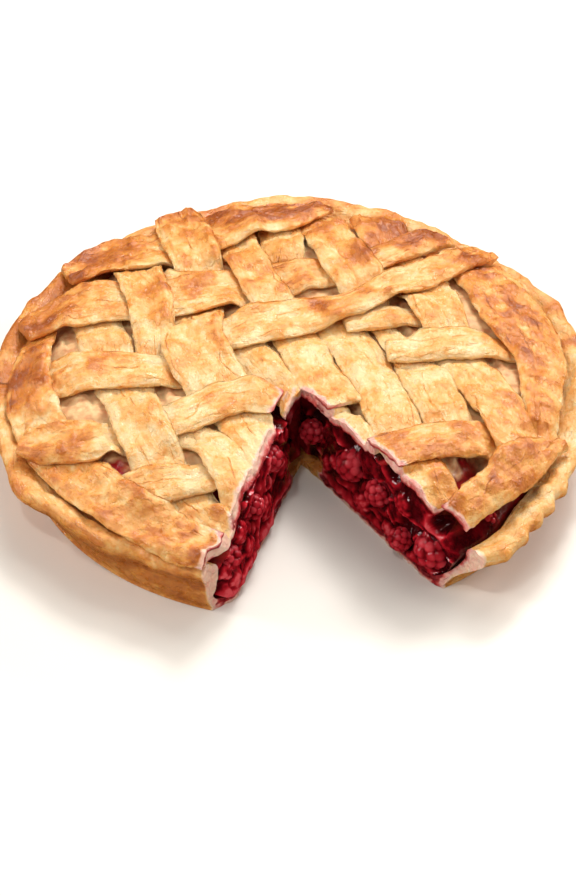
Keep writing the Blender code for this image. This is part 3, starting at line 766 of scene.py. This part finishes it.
def fruit_relief(side, along, height):
    """Crushed berries, gel and hollows over a cut face; positive stands out of the face."""
    shift = 9.3 if side == "right" else 61.7
    points = stacked(along, height)
    relief = 1.1 * fractal(points, 9, 2, shift) - 0.7
    relief = relief + 1.2 * fade(3.5, 8, height)
    ribbon = np.clip(1 - np.abs(fractal(points, 6.5, 1, shift + 3)) / 0.28, 0, 1)
    relief = relief + 0.9 * ribbon ** 2 + 0.25 * fractal(points, 2.4, 2, shift + 6)
    for middle, level, radius in CRUSHED[side]:
        for spot_along, spot_height, spread in drupelet_spots(
                (middle, level), radius * 0.85, int(middle * 10 + level)):
            rise = 0.34 * radius * math.sqrt(max(0, 1 - spread ** 2))
            relief = bump_over(relief, along, height, (spot_along, spot_height),
                               0.30 * radius + 0.45, 0.42 * radius - rise)
    seats = [(*seat, SEAT_DEPTH, 0.9, 1.5) for seat in berry_seats(side)]
    for middle, level, radius, depth, inner, outer in seats + [
            (*hollow, 0.3, 1) for hollow in HOLLOWS[side]]:
        reach = np.hypot(along - middle, height - level)
        relief = relief - depth * fade(inner * radius, outer * radius, reach)
    return relief - fruit_setback(side, along, height)


def slumped_relief(side, along, height):
    """The fruit's relief measured from the flat face through its own, shifted apex."""
    direction, inward = side_vectors(side)
    true_along = along + FRUIT_APEX_SHIFT * direction[1]
    level_out = FRUIT_APEX_SHIFT * inward[1] * smooth(0, 19, true_along)
    return fruit_relief(side, true_along, height) + level_out


def standing_out(points):
    """Whether points of the fruit lie on a bump of the nearer cut face or in a dip."""
    out = np.zeros(len(points))
    for side, (along, depth) in cut_places(*points.T[:2]).items():
        near = (np.abs(depth) < CUT_FACE_REACH) & (along > -2)
        place_along, height = along[near], points[near, 2]
        around_it = sum(fruit_relief(side, place_along + a, height + b)
                        for a, b in ((1.7, 0), (-1.7, 0), (0, 1.7), (0, -1.7))) / 4
        out[near] = np.clip(fruit_relief(side, place_along, height) - around_it, -1, 1)
    return out


def above_face(points):
    """How far points of the fruit stand out of the nearer cut face, 0 away from both."""
    out = np.zeros(len(points))
    for side, (along, depth) in cut_places(*points.T[:2]).items():
        depth = depth - fruit_setback(side, along, points[:, 2])
        near = (np.abs(depth) < CUT_FACE_REACH) & (along > 0)
        out = np.where(near, -depth, out)
    return out


# --- pastry strips ---

def strip_section(widest):
    """Places round a strip's section: (across in half widths, level from underside to top)."""
    count = max(10, round(widest / STRIP_MESH_STEP))
    top = [(across, 1) for across in np.linspace(-1, 1, count)]
    side = [(1.01, 0.62), (1.02, 0.42), (0.99, 0.24), (0.95, 0.06)]
    bottom = [(across, 0) for across in (0.8, 0.3, -0.3, -0.8)]
    return np.array(top + side + bottom + [(-across, level) for across, level in side[::-1]])


def strip_relief(x, y, along, across, seed):
    """Blisters, wrinkles and long flaky creases of a strip's top."""
    surface = stacked(x, y)
    grain = stacked(along * 0.11, across)
    outer = smooth(62, 92, np.hypot(x, y))
    blisters = np.clip(fractal(surface, 7.5, 2, seed), -0.15, 1) * (0.8 + 0.9 * outer)
    hollows = 0.35 * fractal(surface, 14, 2, seed + 4)
    wrinkles = 0.24 * fractal(grain, 2.1, 2, seed + 8)
    fine = 0.16 * fractal(surface, 1.9, 2, seed + 12)
    groove = np.clip(1 - np.abs(fractal(grain, 5, 1, seed + 15)) / 0.12, 0, 1)
    puckers = (1 - np.minimum(np.abs(fractal(surface, 6, 2, seed + 21)), 1)) ** 3 - 0.4
    flake = smooth(0, 0.09, fractal(stacked(along * 0.4, across), 5, 2, seed + 30))
    return (0.85 * blisters + hollows + wrinkles + fine - 0.55 * groove
            + (0.25 + 0.85 * outer) * puckers + 0.3 * flake)


def ragged_widths(half, travelled, across, level, seed):
    """Half widths of a strip all over its skin with uneven edges, and how far each point lies out."""
    edge = {side: 0.6 * fractal(stacked(travelled, travelled * 0 + side * 9), 7, 3, seed)
            for side in (-1, 1)}
    width = np.where(across > 0, (half + edge[1])[:, None], (half + edge[-1])[:, None])
    reach = across * width
    layers = stacked(np.repeat(travelled, len(across)) / 2.2, np.tile(level * 7, len(half)),
                     np.sign(reach.ravel()))
    frayed = 0.28 * fractal(layers, 1, 2, seed + 3).reshape(reach.shape)
    return width, reach + np.where(np.abs(across) > 0.94, np.sign(reach) * frayed, 0)


def pressed_levels(name, x, y):
    """A strip's underside and top under the strips that lie over it, and the height they allow."""
    bottom, top = strip_levels(name, x, y)
    limit = np.full(len(x), FAR)
    for upper in strips_over(name):
        under = sample(outside_map(upper), x, y) < 0.9
        ceiling = sample(soft_underside_map(upper), x, y) - UPPER_GAP
        limit = np.where(under, np.minimum(limit, ceiling), limit)
    pressed = np.where(limit < FAR, np.maximum(limit - top, 0), 0)
    lifted = pressed * sample(by_cut_map(), x, y)
    top = np.minimum(top + lifted, limit)
    return np.minimum(bottom + lifted, top - 0.6), top, limit


def strip_points(name):
    """Rings of points of a strip, and the number of points in a ring."""
    line = spline(ROUTES[name], STRIP_MESH_STEP)
    seed = seed_of("strip_" + name) * 0.37
    travelled, tangent = course(line)
    across, level = strip_section(line[:, 2].max()).T
    rings, ring_size = len(line), len(across)

    to_end = np.minimum(travelled, travelled[-1] - travelled)
    taper = 0.45 + 0.55 * np.sqrt(1 - (1 - np.clip(to_end / END_ROUND, 0, 1)) ** 2)
    half = line[:, 2] / 2 * (0.75 + 0.25 * taper)
    width, reach = ragged_widths(half, travelled, across, level, seed)
    x = (line[:, 0:1] - tangent[:, 1:2] * reach).ravel()
    y = (line[:, 1:2] + tangent[:, 0:1] * reach).ravel()
    bottom, top, limit = pressed_levels(name, x, y)

    from_edge = ((1 - np.minimum(np.abs(across), 1)) * width).ravel()
    drop = EDGE_DROP * np.clip(1 - from_edge / EDGE_ROUND, 0, 1) ** 2
    level = np.tile(level, rings)
    rise = level - np.where(level > 0.99, drop, 0)
    rise = rise * np.where(rise > 0.3, 0.5 + 0.5 * np.repeat(taper, ring_size), 1)
    free = np.clip((limit - top) / 2, 0, 1) * smooth(0.2, 0.9, rise)
    relief = strip_relief(x, y, np.repeat(travelled, ring_size), reach.ravel(), seed)
    return stacked(x, y, bottom + rise * (top - bottom) + free * relief), rings, ring_size


def browning(x, y):
    """How much darker than the rest each listed place baked."""
    total = np.zeros(len(x))
    ragged = 1 + 0.5 * fractal(stacked(x, y), 6, 3, 21)
    for spot_x, spot_y, radius, strength in BROWNED:
        reach = np.hypot(x - spot_x, y - spot_y) * ragged
        total += strength * fade(0.2 * radius, 1.25 * radius, reach)
    return np.minimum(total, MOST_BROWNED)


def paint_pastry(obj, name):
    """Browning with some painted light, juice stains and the direction of the flaky grain of a strip.
    """
    points = points_of(obj)
    x, y, z = points.T
    seed = seed_of("strip_" + name) * 0.11
    _, along, across = beside_line(spline(ROUTES[name], OUTLINE_STEP), x, y)
    bottom, top = strip_levels(name, x, y)
    lift = bottom - sample(crown_map(), x, y)
    # Browner towards the rim, the back and the front right, on lifted and raised parts and at the
    # listed places; the paler front left is painted light.
    bake = (0.18 + 0.20 * smooth(74, 98, np.hypot(x, y))
            + 0.08 * smooth(-5, 30, y)
            - 0.08 * smooth(0, -40, y) * smooth(20, -20, x)
            + 0.06 * smooth(20, 50, x) * smooth(0, -30, y)
            + 0.13 * smooth(0, 4, lift) + 0.13 * np.clip(z - top, -1.5, 1.5) + browning(x, y)
            + 0.12 * fractal(points, 14, 2, seed) + 0.08 * fractal(points, 4, 2, seed + 2))
    bake = bake - 0.08 * sample(covered_map(name), x, y)
    distance = near_cut(x, y, z)
    ragged = 1 + 0.6 * fractal(points, 3.5, 2, 5)
    cut_face = fade(0.5, 1.6, distance * ragged)
    soaked = fade(0, 4.5, distance * ragged)
    level = np.clip((z - bottom) / np.maximum(top - bottom, 0.5), 0, 1)
    juice = 0.56 - 0.30 * level + 0.16 * fractal(points, 6, 2, 27)
    juice = juice + by_left_cut(x) * (0.16 - 0.42 * smooth(0, 0.7, level)
                                      + 0.25 * fractal(points, 2.6, 2, 29))
    juice = np.maximum(np.maximum(juice, DAMP_DOUGH) * cut_face,
                       0.9 * soaked * fade(0.2, 1.8, z - bottom))
    paint(obj, stacked(along, across, z), bake=bake * (1 - 0.7 * cut_face), juice=juice)


def meets_slice(points):
    """Whether any of the points lies in the missing slice."""
    places = cut_places(*points.T[:2])
    inside = (places["right"][1] < 1) & (places["left"][1] < 1) & (points[:, 1] < 0)
    return bool(inside.any())


def make_strip(name, cutter, material):
    points, rings, ring_size = strip_points(name)
    strip = mesh_object("pastry_strip_" + name, points, loft_faces(rings, ring_size))
    if meets_slice(points):
        cut_away(strip, cutter)
    paint_pastry(strip, name)
    place(strip, "strip_" + name, "lattice", material)


# --- crust ---

def wall_thinner(x, y):
    """How far the crust's inside is pushed outward by the cuts, where the wall baked thin."""
    thinner = np.zeros(len(x))
    for side, (_, depth) in cut_places(x, y).items():
        thinner = np.maximum(thinner, WALL_THINNER[side] * fade(5, 20, np.abs(depth)) * (y < -40))
    return thinner


def zigzag(phase):
    """A wave of straight flanks between 0 and 1, for folds with sharp edges."""
    return np.abs((phase % 1) * 2 - 1)


def rim_folds(x, y, z, radius, angle):
    """How far the wall and the rim stand out in folds and pleats."""
    turn = np.radians(angle)
    outer = smooth(RIM_RADIUS - 12, RIM_RADIUS - 5, radius)
    folds = 0.9 * np.sin(26 * turn) * np.sin(7 * turn + 1) * outer * flare(z)
    unrolled = stacked(turn * RIM_RADIUS, z) / (1, 2.5, 1)
    folds = folds + 0.7 * fractal(unrolled, 9, 3, 2) * outer * flare(z)
    pleats = zigzag(angle / PLEAT_SPACING + 0.03 * z + 0.35 * np.sin(turn * 9))
    folds = folds + around(angle, *PLEATED) * outer * flare(z) * (2.2 * pleats - 0.9)
    of_roll = smooth(RIM_RADIUS - 4.5, RIM_RADIUS - 9, radius) * (z > 20)
    of_wall = (radius < BASE_RADIUS - 0.3) * (z > BASE_THICKNESS - 0.1)
    of_wall = of_wall * smooth(BASE_RADIUS - 14, BASE_RADIUS - 5, radius)
    return folds + np.maximum(of_roll, of_wall) * wall_thinner(x, y)


def shape_crust(points):
    """Push the nominal wall out to the uneven rim, with folds, a rope-like roll and lumps."""
    x, y, z = points.T
    radius = np.maximum(np.hypot(x, y), 1)
    angle = bearing(x, y)
    folds = rim_folds(x, y, z, radius, angle)
    grown = 1 + (flare(z) * (rim_radius(angle) - RIM_RADIUS) + folds) / radius
    roll = on_roll(radius) * smooth(15, 21, z)
    surface = stacked(x, y)
    lumps = (0.5 * fractal(surface, 11, 2, 31) + 0.45 * fractal(surface, 3.6, 2, 35)) * roll
    rope = around(angle, *ROPED) * np.sin(np.radians(angle) * 22 + radius * 0.25)
    lumps = lumps + 0.9 * rope * roll
    pleats = 1.1 * zigzag(angle / PLEAT_SPACING + 0.02 * radius + 0.3) - 0.5
    lumps = lumps + around(angle, *PLEATED) * roll * pleats
    height = z + rim_wave(angle) * roll + lumps
    fine = 0.2 * fractal(points, 2.2, 2, 3) * flare(z)
    return stacked(x * grown, y * grown, np.maximum(height + fine, 0))


def crust_bake(points, radius, angle, dry_tip):
    """How far the crust has baked, darkest on its outside and in the listed places of the rim, with
    painted shade on the lower wall.
    """
    x, y, z = points.T
    top = smooth(16, 23, z)
    pale = around(angle, *PALE_RIM)
    # Darker lower down the outside: partly browner baking, partly painted shade of the lower wall.
    bake = 0.62 - (0.36 + 0.10 * pale) * top + 0.10 * fractal(points, 18, 3, 41)
    bake = bake - 0.12 * (1 - dry_tip)
    bake = bake + 0.14 * top * smooth(RIM_RADIUS - 3.5, RIM_RADIUS - 0.5, radius)
    for middle, spread, strength in RIM_BROWNED:
        away = np.abs((angle - middle + 180) % 360 - 180)
        bake = bake + 0.8 * strength * top * fade(0, spread, away)
    return bake


def crust_juice(points, radius, cut_face, dry_tip):
    """Juice in the cut faces of the crust and over its inside, up to the dry ledge at the tip."""
    x, y, z = points.T
    ragged = fractal(points, 4, 3, 9)
    inner = BASE_RADIUS - 2 + 0.25 * np.maximum(z - 8, 0)
    soaked = 0.85 * fade(-1.5, 3.4, radius - inner + 1.3 * ragged)
    above = smooth(0.5, 2.2, z + 0.6 * ragged)
    juice = cut_face * np.where(radius > BASE_RADIUS - 4, np.maximum(soaked, DAMP_DOUGH),
                                (DAMP_DOUGH + 0.85 * above) * dry_tip)
    inside = (radius < inner + 1) & (z > BASE_THICKNESS - 0.8) & (z < 12)
    return np.maximum(juice, np.where(inside, 0.9 * smooth(1, 4, near_apex(x, y)), 0))


def make_crust(cutter, material):
    roll = tuple((RIM_RADIUS - inset, height) for inset, height in RIM_TOP)
    profile = spline(WALL_OUTSIDE + roll + WALL_INSIDE, CRUST_STEP, FLAT_SPAN)
    points, faces = revolve(profile, CRUST_TURNS)
    crust = mesh_object("pastry_crust", shape_crust(points), faces)
    cut_away(crust, cutter)
    points = points_of(crust)
    x, y, z = points.T
    angle = bearing(x, y)
    radius = np.hypot(x, y) - (rim_radius(angle) - RIM_RADIUS) * flare(z)
    dry_tip = smooth(0, 4, near_apex(x, y))
    cut_face = fade(0.3, 1.1, near_cut(x, y, z))
    bake = crust_bake(points, radius, angle, dry_tip) * (1 - (0.35 + 0.5 * dry_tip) * cut_face)
    paint(crust, stacked(np.radians(angle) * radius, radius, z),
          bake=bake, juice=crust_juice(points, radius, cut_face, dry_tip))
    place(crust, "base_crust", "base_crust", material)


# --- filling and berries ---

def filling_shape():
    """The fruit before the slice is taken out, flared like the crust and pressed up to the lid."""
    floor = BASE_THICKNESS + FLOOR_GAP
    edge = RIM_RADIUS - FILLING_INSET
    wall = [(0, floor), (BASE_RADIUS - 12, floor), (BASE_RADIUS - 6, floor + 0.7),
            (BASE_RADIUS - 2.3, 8.2), (edge, FILLING_EDGE)]
    rings = int(edge / FILLING_STEP)
    lid = [(edge * (1 - index / rings), 60) for index in range(1, rings + 1)]
    points, faces = revolve(np.array(wall + lid), FILLING_TURNS)
    x, y, z = points.T
    radius = np.maximum(np.hypot(x, y), 0.01)
    grown = 1 + flare(z) * (rim_radius(bearing(x, y)) - RIM_RADIUS) / np.maximum(radius, 1) * (
        smooth(10, 60, radius))
    thinner = wall_thinner(x, y) * smooth(BASE_RADIUS - 16, BASE_RADIUS - 5, radius)
    grown = grown + thinner / radius
    x, y = x * grown, y * grown
    lumps = 0.5 + 0.5 * fractal(stacked(x, y), 8, 3, 13)
    top = sample(ceiling_map(), x, y) - 1.2 * np.clip(lumps, 0, 1.4)
    top = np.minimum(top, FILLING_EDGE + FILLING_SLOPE * (edge - radius) + 0.4 * lumps)
    return stacked(x, y, np.where(z > 50, top, z)), faces


def paint_filling(filling):
    """Ripeness of the fruit with painted light and shade on its relief, and the pale baked film on it
    in the gaps of the lattice.
    """
    points = points_of(filling)
    x, y, z = points.T
    below_lid = sample(ceiling_map(), x, y) - z
    from_cut = near_cut(x, y, z)
    pale = smooth(6, 13, from_cut) * np.maximum(fade(2, 3.5, below_lid), smooth(25, 35, from_cut))
    ragged = 1 + 0.5 * fractal(stacked(x, y), 4, 3, 51)
    for spot_x, spot_y, radius in RED_GAPS:
        reach = np.hypot(x - spot_x, y - spot_y) * ragged
        pale = pale * smooth(0.7 * radius, 1.2 * radius, reach)
    ripe = 0.20 + 0.26 * fractal(points, 10, 2, 17) + 0.08 * fractal(points, 3, 2, 23)
    # Brighter towards the base and on the left cut.
    ripe = ripe + 0.42 * fade(4, 11, z) + 0.22 * by_left_cut(x)
    # Painted shade: darker where the fruit lies set back into a cut face, lighter where it stands
    # out.
    ripe = ripe + 0.11 * np.clip(above_face(points), -5, 1.5)
    # Painted light on the bumps of a cut face and painted shade in its dips.
    ripe = ripe + 0.80 * np.clip(standing_out(points), -0.5, 0.9)
    paint(filling, pale=pale, ripe=ripe)


def make_filling(cutter, material):
    filling = mesh_object("fruit_filling", *filling_shape())
    cut_away(filling, cutter)
    paint_filling(filling)
    place(filling, "filling", "filling", material, sharp_from=80)


def spiral(count):
    """Evenly spread directions on a sphere."""
    index = np.arange(count)
    height = 1 - 2 * (index + 0.5) / count
    across = np.sqrt(1 - height ** 2)
    turn = index * math.pi * (3 - math.sqrt(5))
    return stacked(across * np.cos(turn), across * np.sin(turn), height)


def make_berry(name, material):
    """A raspberry: round drupelets packed over a ball, turned at random."""
    x, y, z, diameter = BERRIES[name]
    source = np.random.default_rng(seed_of(name))
    mesh = bmesh.new()
    bmesh.ops.create_icosphere(mesh, subdivisions=6, radius=1)
    directions = np.array([vertex.co.normalized() for vertex in mesh.verts])
    faces = [[vertex.index for vertex in face.verts] for face in mesh.faces]
    mesh.free()
    centres = spiral(DRUPELETS)
    centres = centres + source.normal(0, 0.05, centres.shape)
    centres = centres / np.linalg.norm(centres, axis=1)[:, None]
    gap = np.linalg.norm(directions[:, None, :] - centres[None, :, :], axis=2)
    nearest = gap.argmin(axis=1)
    close = gap[np.arange(len(gap)), nearest]
    size = source.uniform(0.33, 0.39, DRUPELETS)[nearest]
    bead = np.sqrt(np.maximum(1 - (close / size) ** 2, 0))
    radius = diameter / 2 * (BERRY_CORE + (1 - BERRY_CORE) * bead)
    turn = np.array(Euler(source.uniform(-0.7, 0.7, 3)).to_matrix())
    points = directions * radius[:, None] @ turn.T + (x, y, z)
    berry = mesh_object("fruit_" + name, points, faces)
    # The dark between the drupelets is painted shade.
    paint(berry, ripe=0.62 + 0.33 * source.uniform(0, 1, DRUPELETS)[nearest], seam=1 - bead)
    place(berry, name, "berry", material, sharp_from=80)


# --- materials ---

class Graph:
    """Short names for building a material's nodes."""

    def __init__(self, name):
        self.material = bpy.data.materials.new(name)
        self.material.use_nodes = True
        self.tree = self.material.node_tree
        self.shader = self.tree.nodes["Principled BSDF"]
        self.place = self.tree.nodes.new("ShaderNodeTexCoord").outputs["Object"]

    def feed(self, socket, value):
        """Link a socket to another node's, or set its value."""
        if isinstance(value, bpy.types.NodeSocket):
            self.tree.links.new(value, socket)
        else:
            socket.default_value = value

    def node(self, kind, inputs, **settings):
        made = self.tree.nodes.new("ShaderNode" + kind)
        for key, value in settings.items():
            setattr(made, key, value)
        for key, value in inputs.items():
            self.feed(made.inputs[key], value)
        return made

    def attribute(self, name, output="Fac"):
        return self.node("Attribute", {}, attribute_name=name).outputs[output]

    def noise(self, size, detail=3, roughness=0.5):
        """Noise whose grains are about the given size in millimetres."""
        return self.node("TexNoise", {"Vector": self.place, "Scale": 1 / (size * MM),
                                      "Detail": detail, "Roughness": roughness}).outputs["Fac"]

    def along_grain(self, scale, squeeze):
        """Noise that is drawn out along a strip, the more the smaller the squeeze."""
        grain = self.attribute("grain", "Vector")
        place = self.node("VectorMath", {0: grain, 1: (squeeze, 1, 1)}, operation="MULTIPLY")
        return self.node("TexNoise", {"Vector": place.outputs["Vector"], "Scale": scale,
                                      "Detail": 3, "Roughness": 0.55}).outputs["Fac"]

    def math(self, operation, a, b, clamp=False):
        return self.node("Math", {0: a, 1: b}, operation=operation, use_clamp=clamp).outputs[0]

    def times(self, a, b):
        return self.math("MULTIPLY", a, b)

    def less(self, a, b):
        return self.math("SUBTRACT", a, b)

    def total(self, value, *others):
        """The sum of all, kept between 0 and 1."""
        for other in others[:-1]:
            value = self.math("ADD", value, other)
        return self.math("ADD", value, others[-1], clamp=True)

    def span(self, value, low, high, to_low=0, to_high=1):
        made = self.node("MapRange", {"Value": value, "From Min": low, "From Max": high,
                                      "To Min": to_low, "To Max": to_high})
        return made.outputs["Result"]

    def ramp(self, value, stops):
        made = self.node("ValToRGB", {"Fac": value})
        elements = made.color_ramp.elements
        for element, (position, colour) in zip(elements, (stops[0], stops[-1])):
            element.position, element.color = position, (*colour, 1)
        for position, colour in stops[1:-1]:
            elements.new(position).color = (*colour, 1)
        return made.outputs["Color"]

    def mix(self, share, a, b):
        a, b = ((*colour, 1) if isinstance(colour, tuple) else colour for colour in (a, b))
        return self.node("Mix", {0: share, 6: a, 7: b}, data_type="RGBA").outputs[2]

    def bumps(self, *layers):
        """A normal tilted by layers of (height, depth in millimetres, strength)."""
        inputs = {}
        for height, depth, strength in layers:
            inputs |= {"Height": height, "Distance": depth * MM, "Strength": strength}
            inputs["Normal"] = self.node("Bump", inputs).outputs["Normal"]
        return inputs["Normal"]

    def plug(self, **sockets):
        for name, value in sockets.items():
            self.feed(self.shader.inputs[name.replace("_", " ")], value)


# The baked value that picks these colours also carries painted light and shade.
PASTRY_STOPS = (  # albedo against how far the pastry has baked
    (0, (0.88, 0.62, 0.31)), (0.2, (0.87, 0.485, 0.165)), (0.4, (0.81, 0.345, 0.078)),
    (0.6, (0.65, 0.215, 0.040)), (0.8, (0.54, 0.158, 0.028)), (1, (0.36, 0.088, 0.018)))
JUICE_STOPS = (  # albedo against how much juice the pastry took up
    (0, (0.92, 0.70, 0.55)), (0.35, (0.86, 0.40, 0.33)), (0.6, (0.68, 0.12, 0.105)),
    (0.8, (0.42, 0.028, 0.030)), (1, (0.20, 0.008, 0.012)))
FILLING_STOPS = (  # albedo from the darkest fruit to the brightest
    (0, (0.035, 0.001, 0.002)), (0.3, (0.13, 0.002, 0.005)), (0.6, (0.36, 0.007, 0.014)),
    (0.85, (0.56, 0.022, 0.034)), (1, (0.70, 0.085, 0.10)))
BERRY_STOPS = (  # the same for the whole berries
    (0, (0.07, 0.001, 0.002)), (0.4, (0.27, 0.004, 0.009)), (0.7, (0.47, 0.018, 0.03)),
    (1, (0.64, 0.06, 0.075)))
FRECKLE = (0.40, 0.14, 0.05)
BAKED_FILM = ((0.86, 0.58, 0.30), (0.62, 0.29, 0.13))
FLOOR_TONES = ((0.80, 0.755, 0.69), (0.83, 0.79, 0.725))


def fold_lines(graph, spacing):
    """Thin broken lines along a strip, where layers of the dough end."""
    grain = graph.attribute("grain", "Vector")
    across = graph.node("SeparateXYZ", {"Vector": grain}).outputs["Y"]
    across = graph.math("ADD", across, graph.span(graph.noise(26, 1), 0.3, 0.7, -4, 4))
    line = graph.span(graph.math("PINGPONG", across, spacing), 0.08, 0.42, 1, 0)
    return graph.times(line, graph.span(graph.noise(13, 2), 0.52, 0.60))


def flakes(graph, size, edge):
    """Patches with crisp borders, where a flake of dough lies on top."""
    return graph.span(graph.along_grain(1 / size, 0.5), edge, edge + 0.025)


def pastry_material(name, fibre_share, spacing):
    """Baked, egg-washed shortcrust with flaky grain, freckles and juice stains."""
    graph = Graph(name)
    fibres = graph.along_grain(0.62, 0.16)
    lines = fold_lines(graph, spacing)
    mottle = graph.noise(2.6, 4, 0.6)
    fine = graph.noise(0.8, 4, 0.65)
    pores = graph.span(graph.noise(0.55, 1), 0.30, 0.22)
    broad = flakes(graph, 6.5, 0.50)
    small = flakes(graph, 2.4, 0.54)
    tone = graph.total(
        graph.attribute("bake"),
        graph.span(graph.noise(8.5), 0.37, 0.63, -0.12, 0.14),
        graph.span(graph.noise(18, 2), 0.35, 0.65, -0.06, 0.06),
        graph.span(mottle, 0.38, 0.62, -0.065, 0.075),
        graph.span(fibres, 0.3, 0.7, -fibre_share, fibre_share),
        graph.span(broad, 0, 1, -0.045, 0.05),
        graph.span(small, 0, 1, 0.03, -0.05),
        graph.times(lines, 0.28),
        graph.times(pores, 0.16),
        graph.span(fine, 0.32, 0.68, -0.05, 0.05))
    freckle = graph.times(graph.span(graph.noise(0.9, 2), 0.64, 0.72),
                          graph.span(graph.noise(14, 1), 0.5, 0.62))
    colour = graph.mix(graph.times(freckle, 0.5), graph.ramp(tone, PASTRY_STOPS), FRECKLE)
    juice = graph.attribute("juice")
    uneven = graph.math("ADD", juice, graph.span(graph.noise(1.8), 0.3, 0.7, -0.14, 0.14))
    colour = graph.mix(graph.span(juice, 0.04, 0.22), colour, graph.ramp(uneven, JUICE_STOPS))
    normal = graph.bumps(
        (fibres, 0.35, fibre_share * 6), (mottle, 1.1, 0.6), (broad, 0.22, 0.9),
        (small, 0.14, 0.9), (fine, 0.30, 0.9), (graph.less(1, pores), 0.2, 0.7),
        (graph.less(1, lines), 0.35, 0.8))
    graph.plug(Base_Color=colour, Roughness=graph.span(graph.noise(3.4), 0.42, 0.58, 0.20, 0.48),
               Normal=normal, Coat_Weight=0.25, Coat_Roughness=0.22, Coat_Normal=normal,
               Specular_IOR_Level=0.5, Subsurface_Weight=0.15, Subsurface_Scale=1,
               Subsurface_Radius=(0.003, 0.0012, 0.0005))
    return graph.material


def fruit_material(name, stops, wetness):
    """Wet crushed fruit under a coat of juice, with painted shade between drupelets and a dull baked
    film where it shows in a gap.
    """
    graph = Graph(name)
    mottle = graph.noise(2.6, 4, 0.6)
    fine = graph.noise(0.8)
    # Darker in the seams between drupelets: painted shade.
    ripe = graph.less(graph.attribute("ripe"), graph.times(graph.attribute("seam"), 0.5))
    tone = graph.total(ripe, graph.span(mottle, 0.3, 0.7, -0.14, 0.14))
    film = graph.mix(graph.span(graph.noise(3.5), 0.42, 0.68), *BAKED_FILM)
    pale = graph.times(graph.attribute("pale"), graph.span(mottle, 0.35, 0.5, 0.9, 1))
    rough = graph.math("ADD", graph.span(fine, 0.3, 0.7, wetness, wetness + 0.12),
                       graph.times(pale, 0.3))
    graph.plug(Base_Color=graph.mix(pale, graph.ramp(tone, stops), film), Roughness=rough,
               Normal=graph.bumps((mottle, 0.5, 0.6), (fine, 0.12, 0.4)),
               Coat_Weight=graph.less(1, pale), Coat_Roughness=0.05, Coat_IOR=1.45,
               Coat_Normal=graph.bumps((mottle, 0.5, 0.7), (fine, 0.12, 0.5)),
               Subsurface_Weight=0.15, Subsurface_Radius=(0.004, 0.0004, 0.0004),
               Subsurface_Scale=0.5, Specular_IOR_Level=0.3, IOR=1.4,
               Specular_Tint=(1, 0.6, 0.6, 1))
    return graph.material


def floor_material():
    graph = Graph("pale_floor")
    colour = graph.mix(graph.span(graph.noise(60), 0.3, 0.7), *FLOOR_TONES)
    graph.plug(Base_Color=colour, Roughness=0.55)
    return graph.material


# --- floor, light and camera ---

def make_floor():
    corners = np.array([(-1, -1, 0), (1, -1, 0), (1, 1, 0), (-1, 1, 0)]) * FLOOR_REACH
    floor = mesh_object("floor", corners, [(0, 1, 2, 3)])
    floor.data.materials.append(floor_material())
    floor.visible_glossy = False


def aim(obj, location, target):
    obj.location = Vector(location) * MM
    obj.rotation_euler = (Vector(target) - Vector(location)).to_track_quat("-Z", "Y").to_euler()


def light_scene():
    for name, (location, size, power, colour, glossy) in LIGHTS.items():
        light = bpy.data.lights.new(name, "AREA")
        light.size, light.energy, light.color = size * MM, power, colour
        obj = linked(name, light)
        obj.visible_glossy = glossy
        aim(obj, location, LIGHT_TARGET)
    world = bpy.data.worlds.new("soft_room")
    world.use_nodes = True
    background = world.node_tree.nodes["Background"]
    background.inputs["Color"].default_value = WORLD_COLOUR
    background.inputs["Strength"].default_value = WORLD_STRENGTH
    bpy.context.scene.world = world
    world.cycles_visibility.glossy = False


def make_camera():
    camera = bpy.data.cameras.new("camera")
    camera.lens = CAMERA_LENS
    camera.clip_start = 0.01
    obj = linked("camera", camera)
    elevation = math.radians(CAMERA_ELEVATION)
    back = Vector((0, -math.cos(elevation), math.sin(elevation)))
    aim(obj, Vector(CAMERA_TARGET) + back * CAMERA_DISTANCE, CAMERA_TARGET)
    bpy.context.scene.camera = obj


def main():
    make_camera()
    light_scene()
    make_floor()
    bpy.context.scene.view_settings.view_transform = "Standard"

    pastry_cut = wedge("pastry_cut", pastry_relief, **PASTRY_CUT)
    fruit_cut = wedge("fruit_cut", slumped_relief, **FRUIT_CUT, apex_shift=FRUIT_APEX_SHIFT)
    crust = pastry_material("baked_crust", fibre_share=0.02, spacing=60)
    lattice = pastry_material("baked_lattice", fibre_share=0.06, spacing=4.6)
    fruit = fruit_material("raspberry_filling", FILLING_STOPS, wetness=0.06)
    berry = fruit_material("raspberry", BERRY_STOPS, wetness=0.10)
    make_crust(pastry_cut, crust)
    make_filling(fruit_cut, fruit)
    for name in BERRIES:
        make_berry(name, berry)
    for name in ROUTES:
        make_strip(name, pastry_cut, lattice)
    for cutter in (pastry_cut, fruit_cut):
        bpy.data.objects.remove(cutter, do_unlink=True)


main()
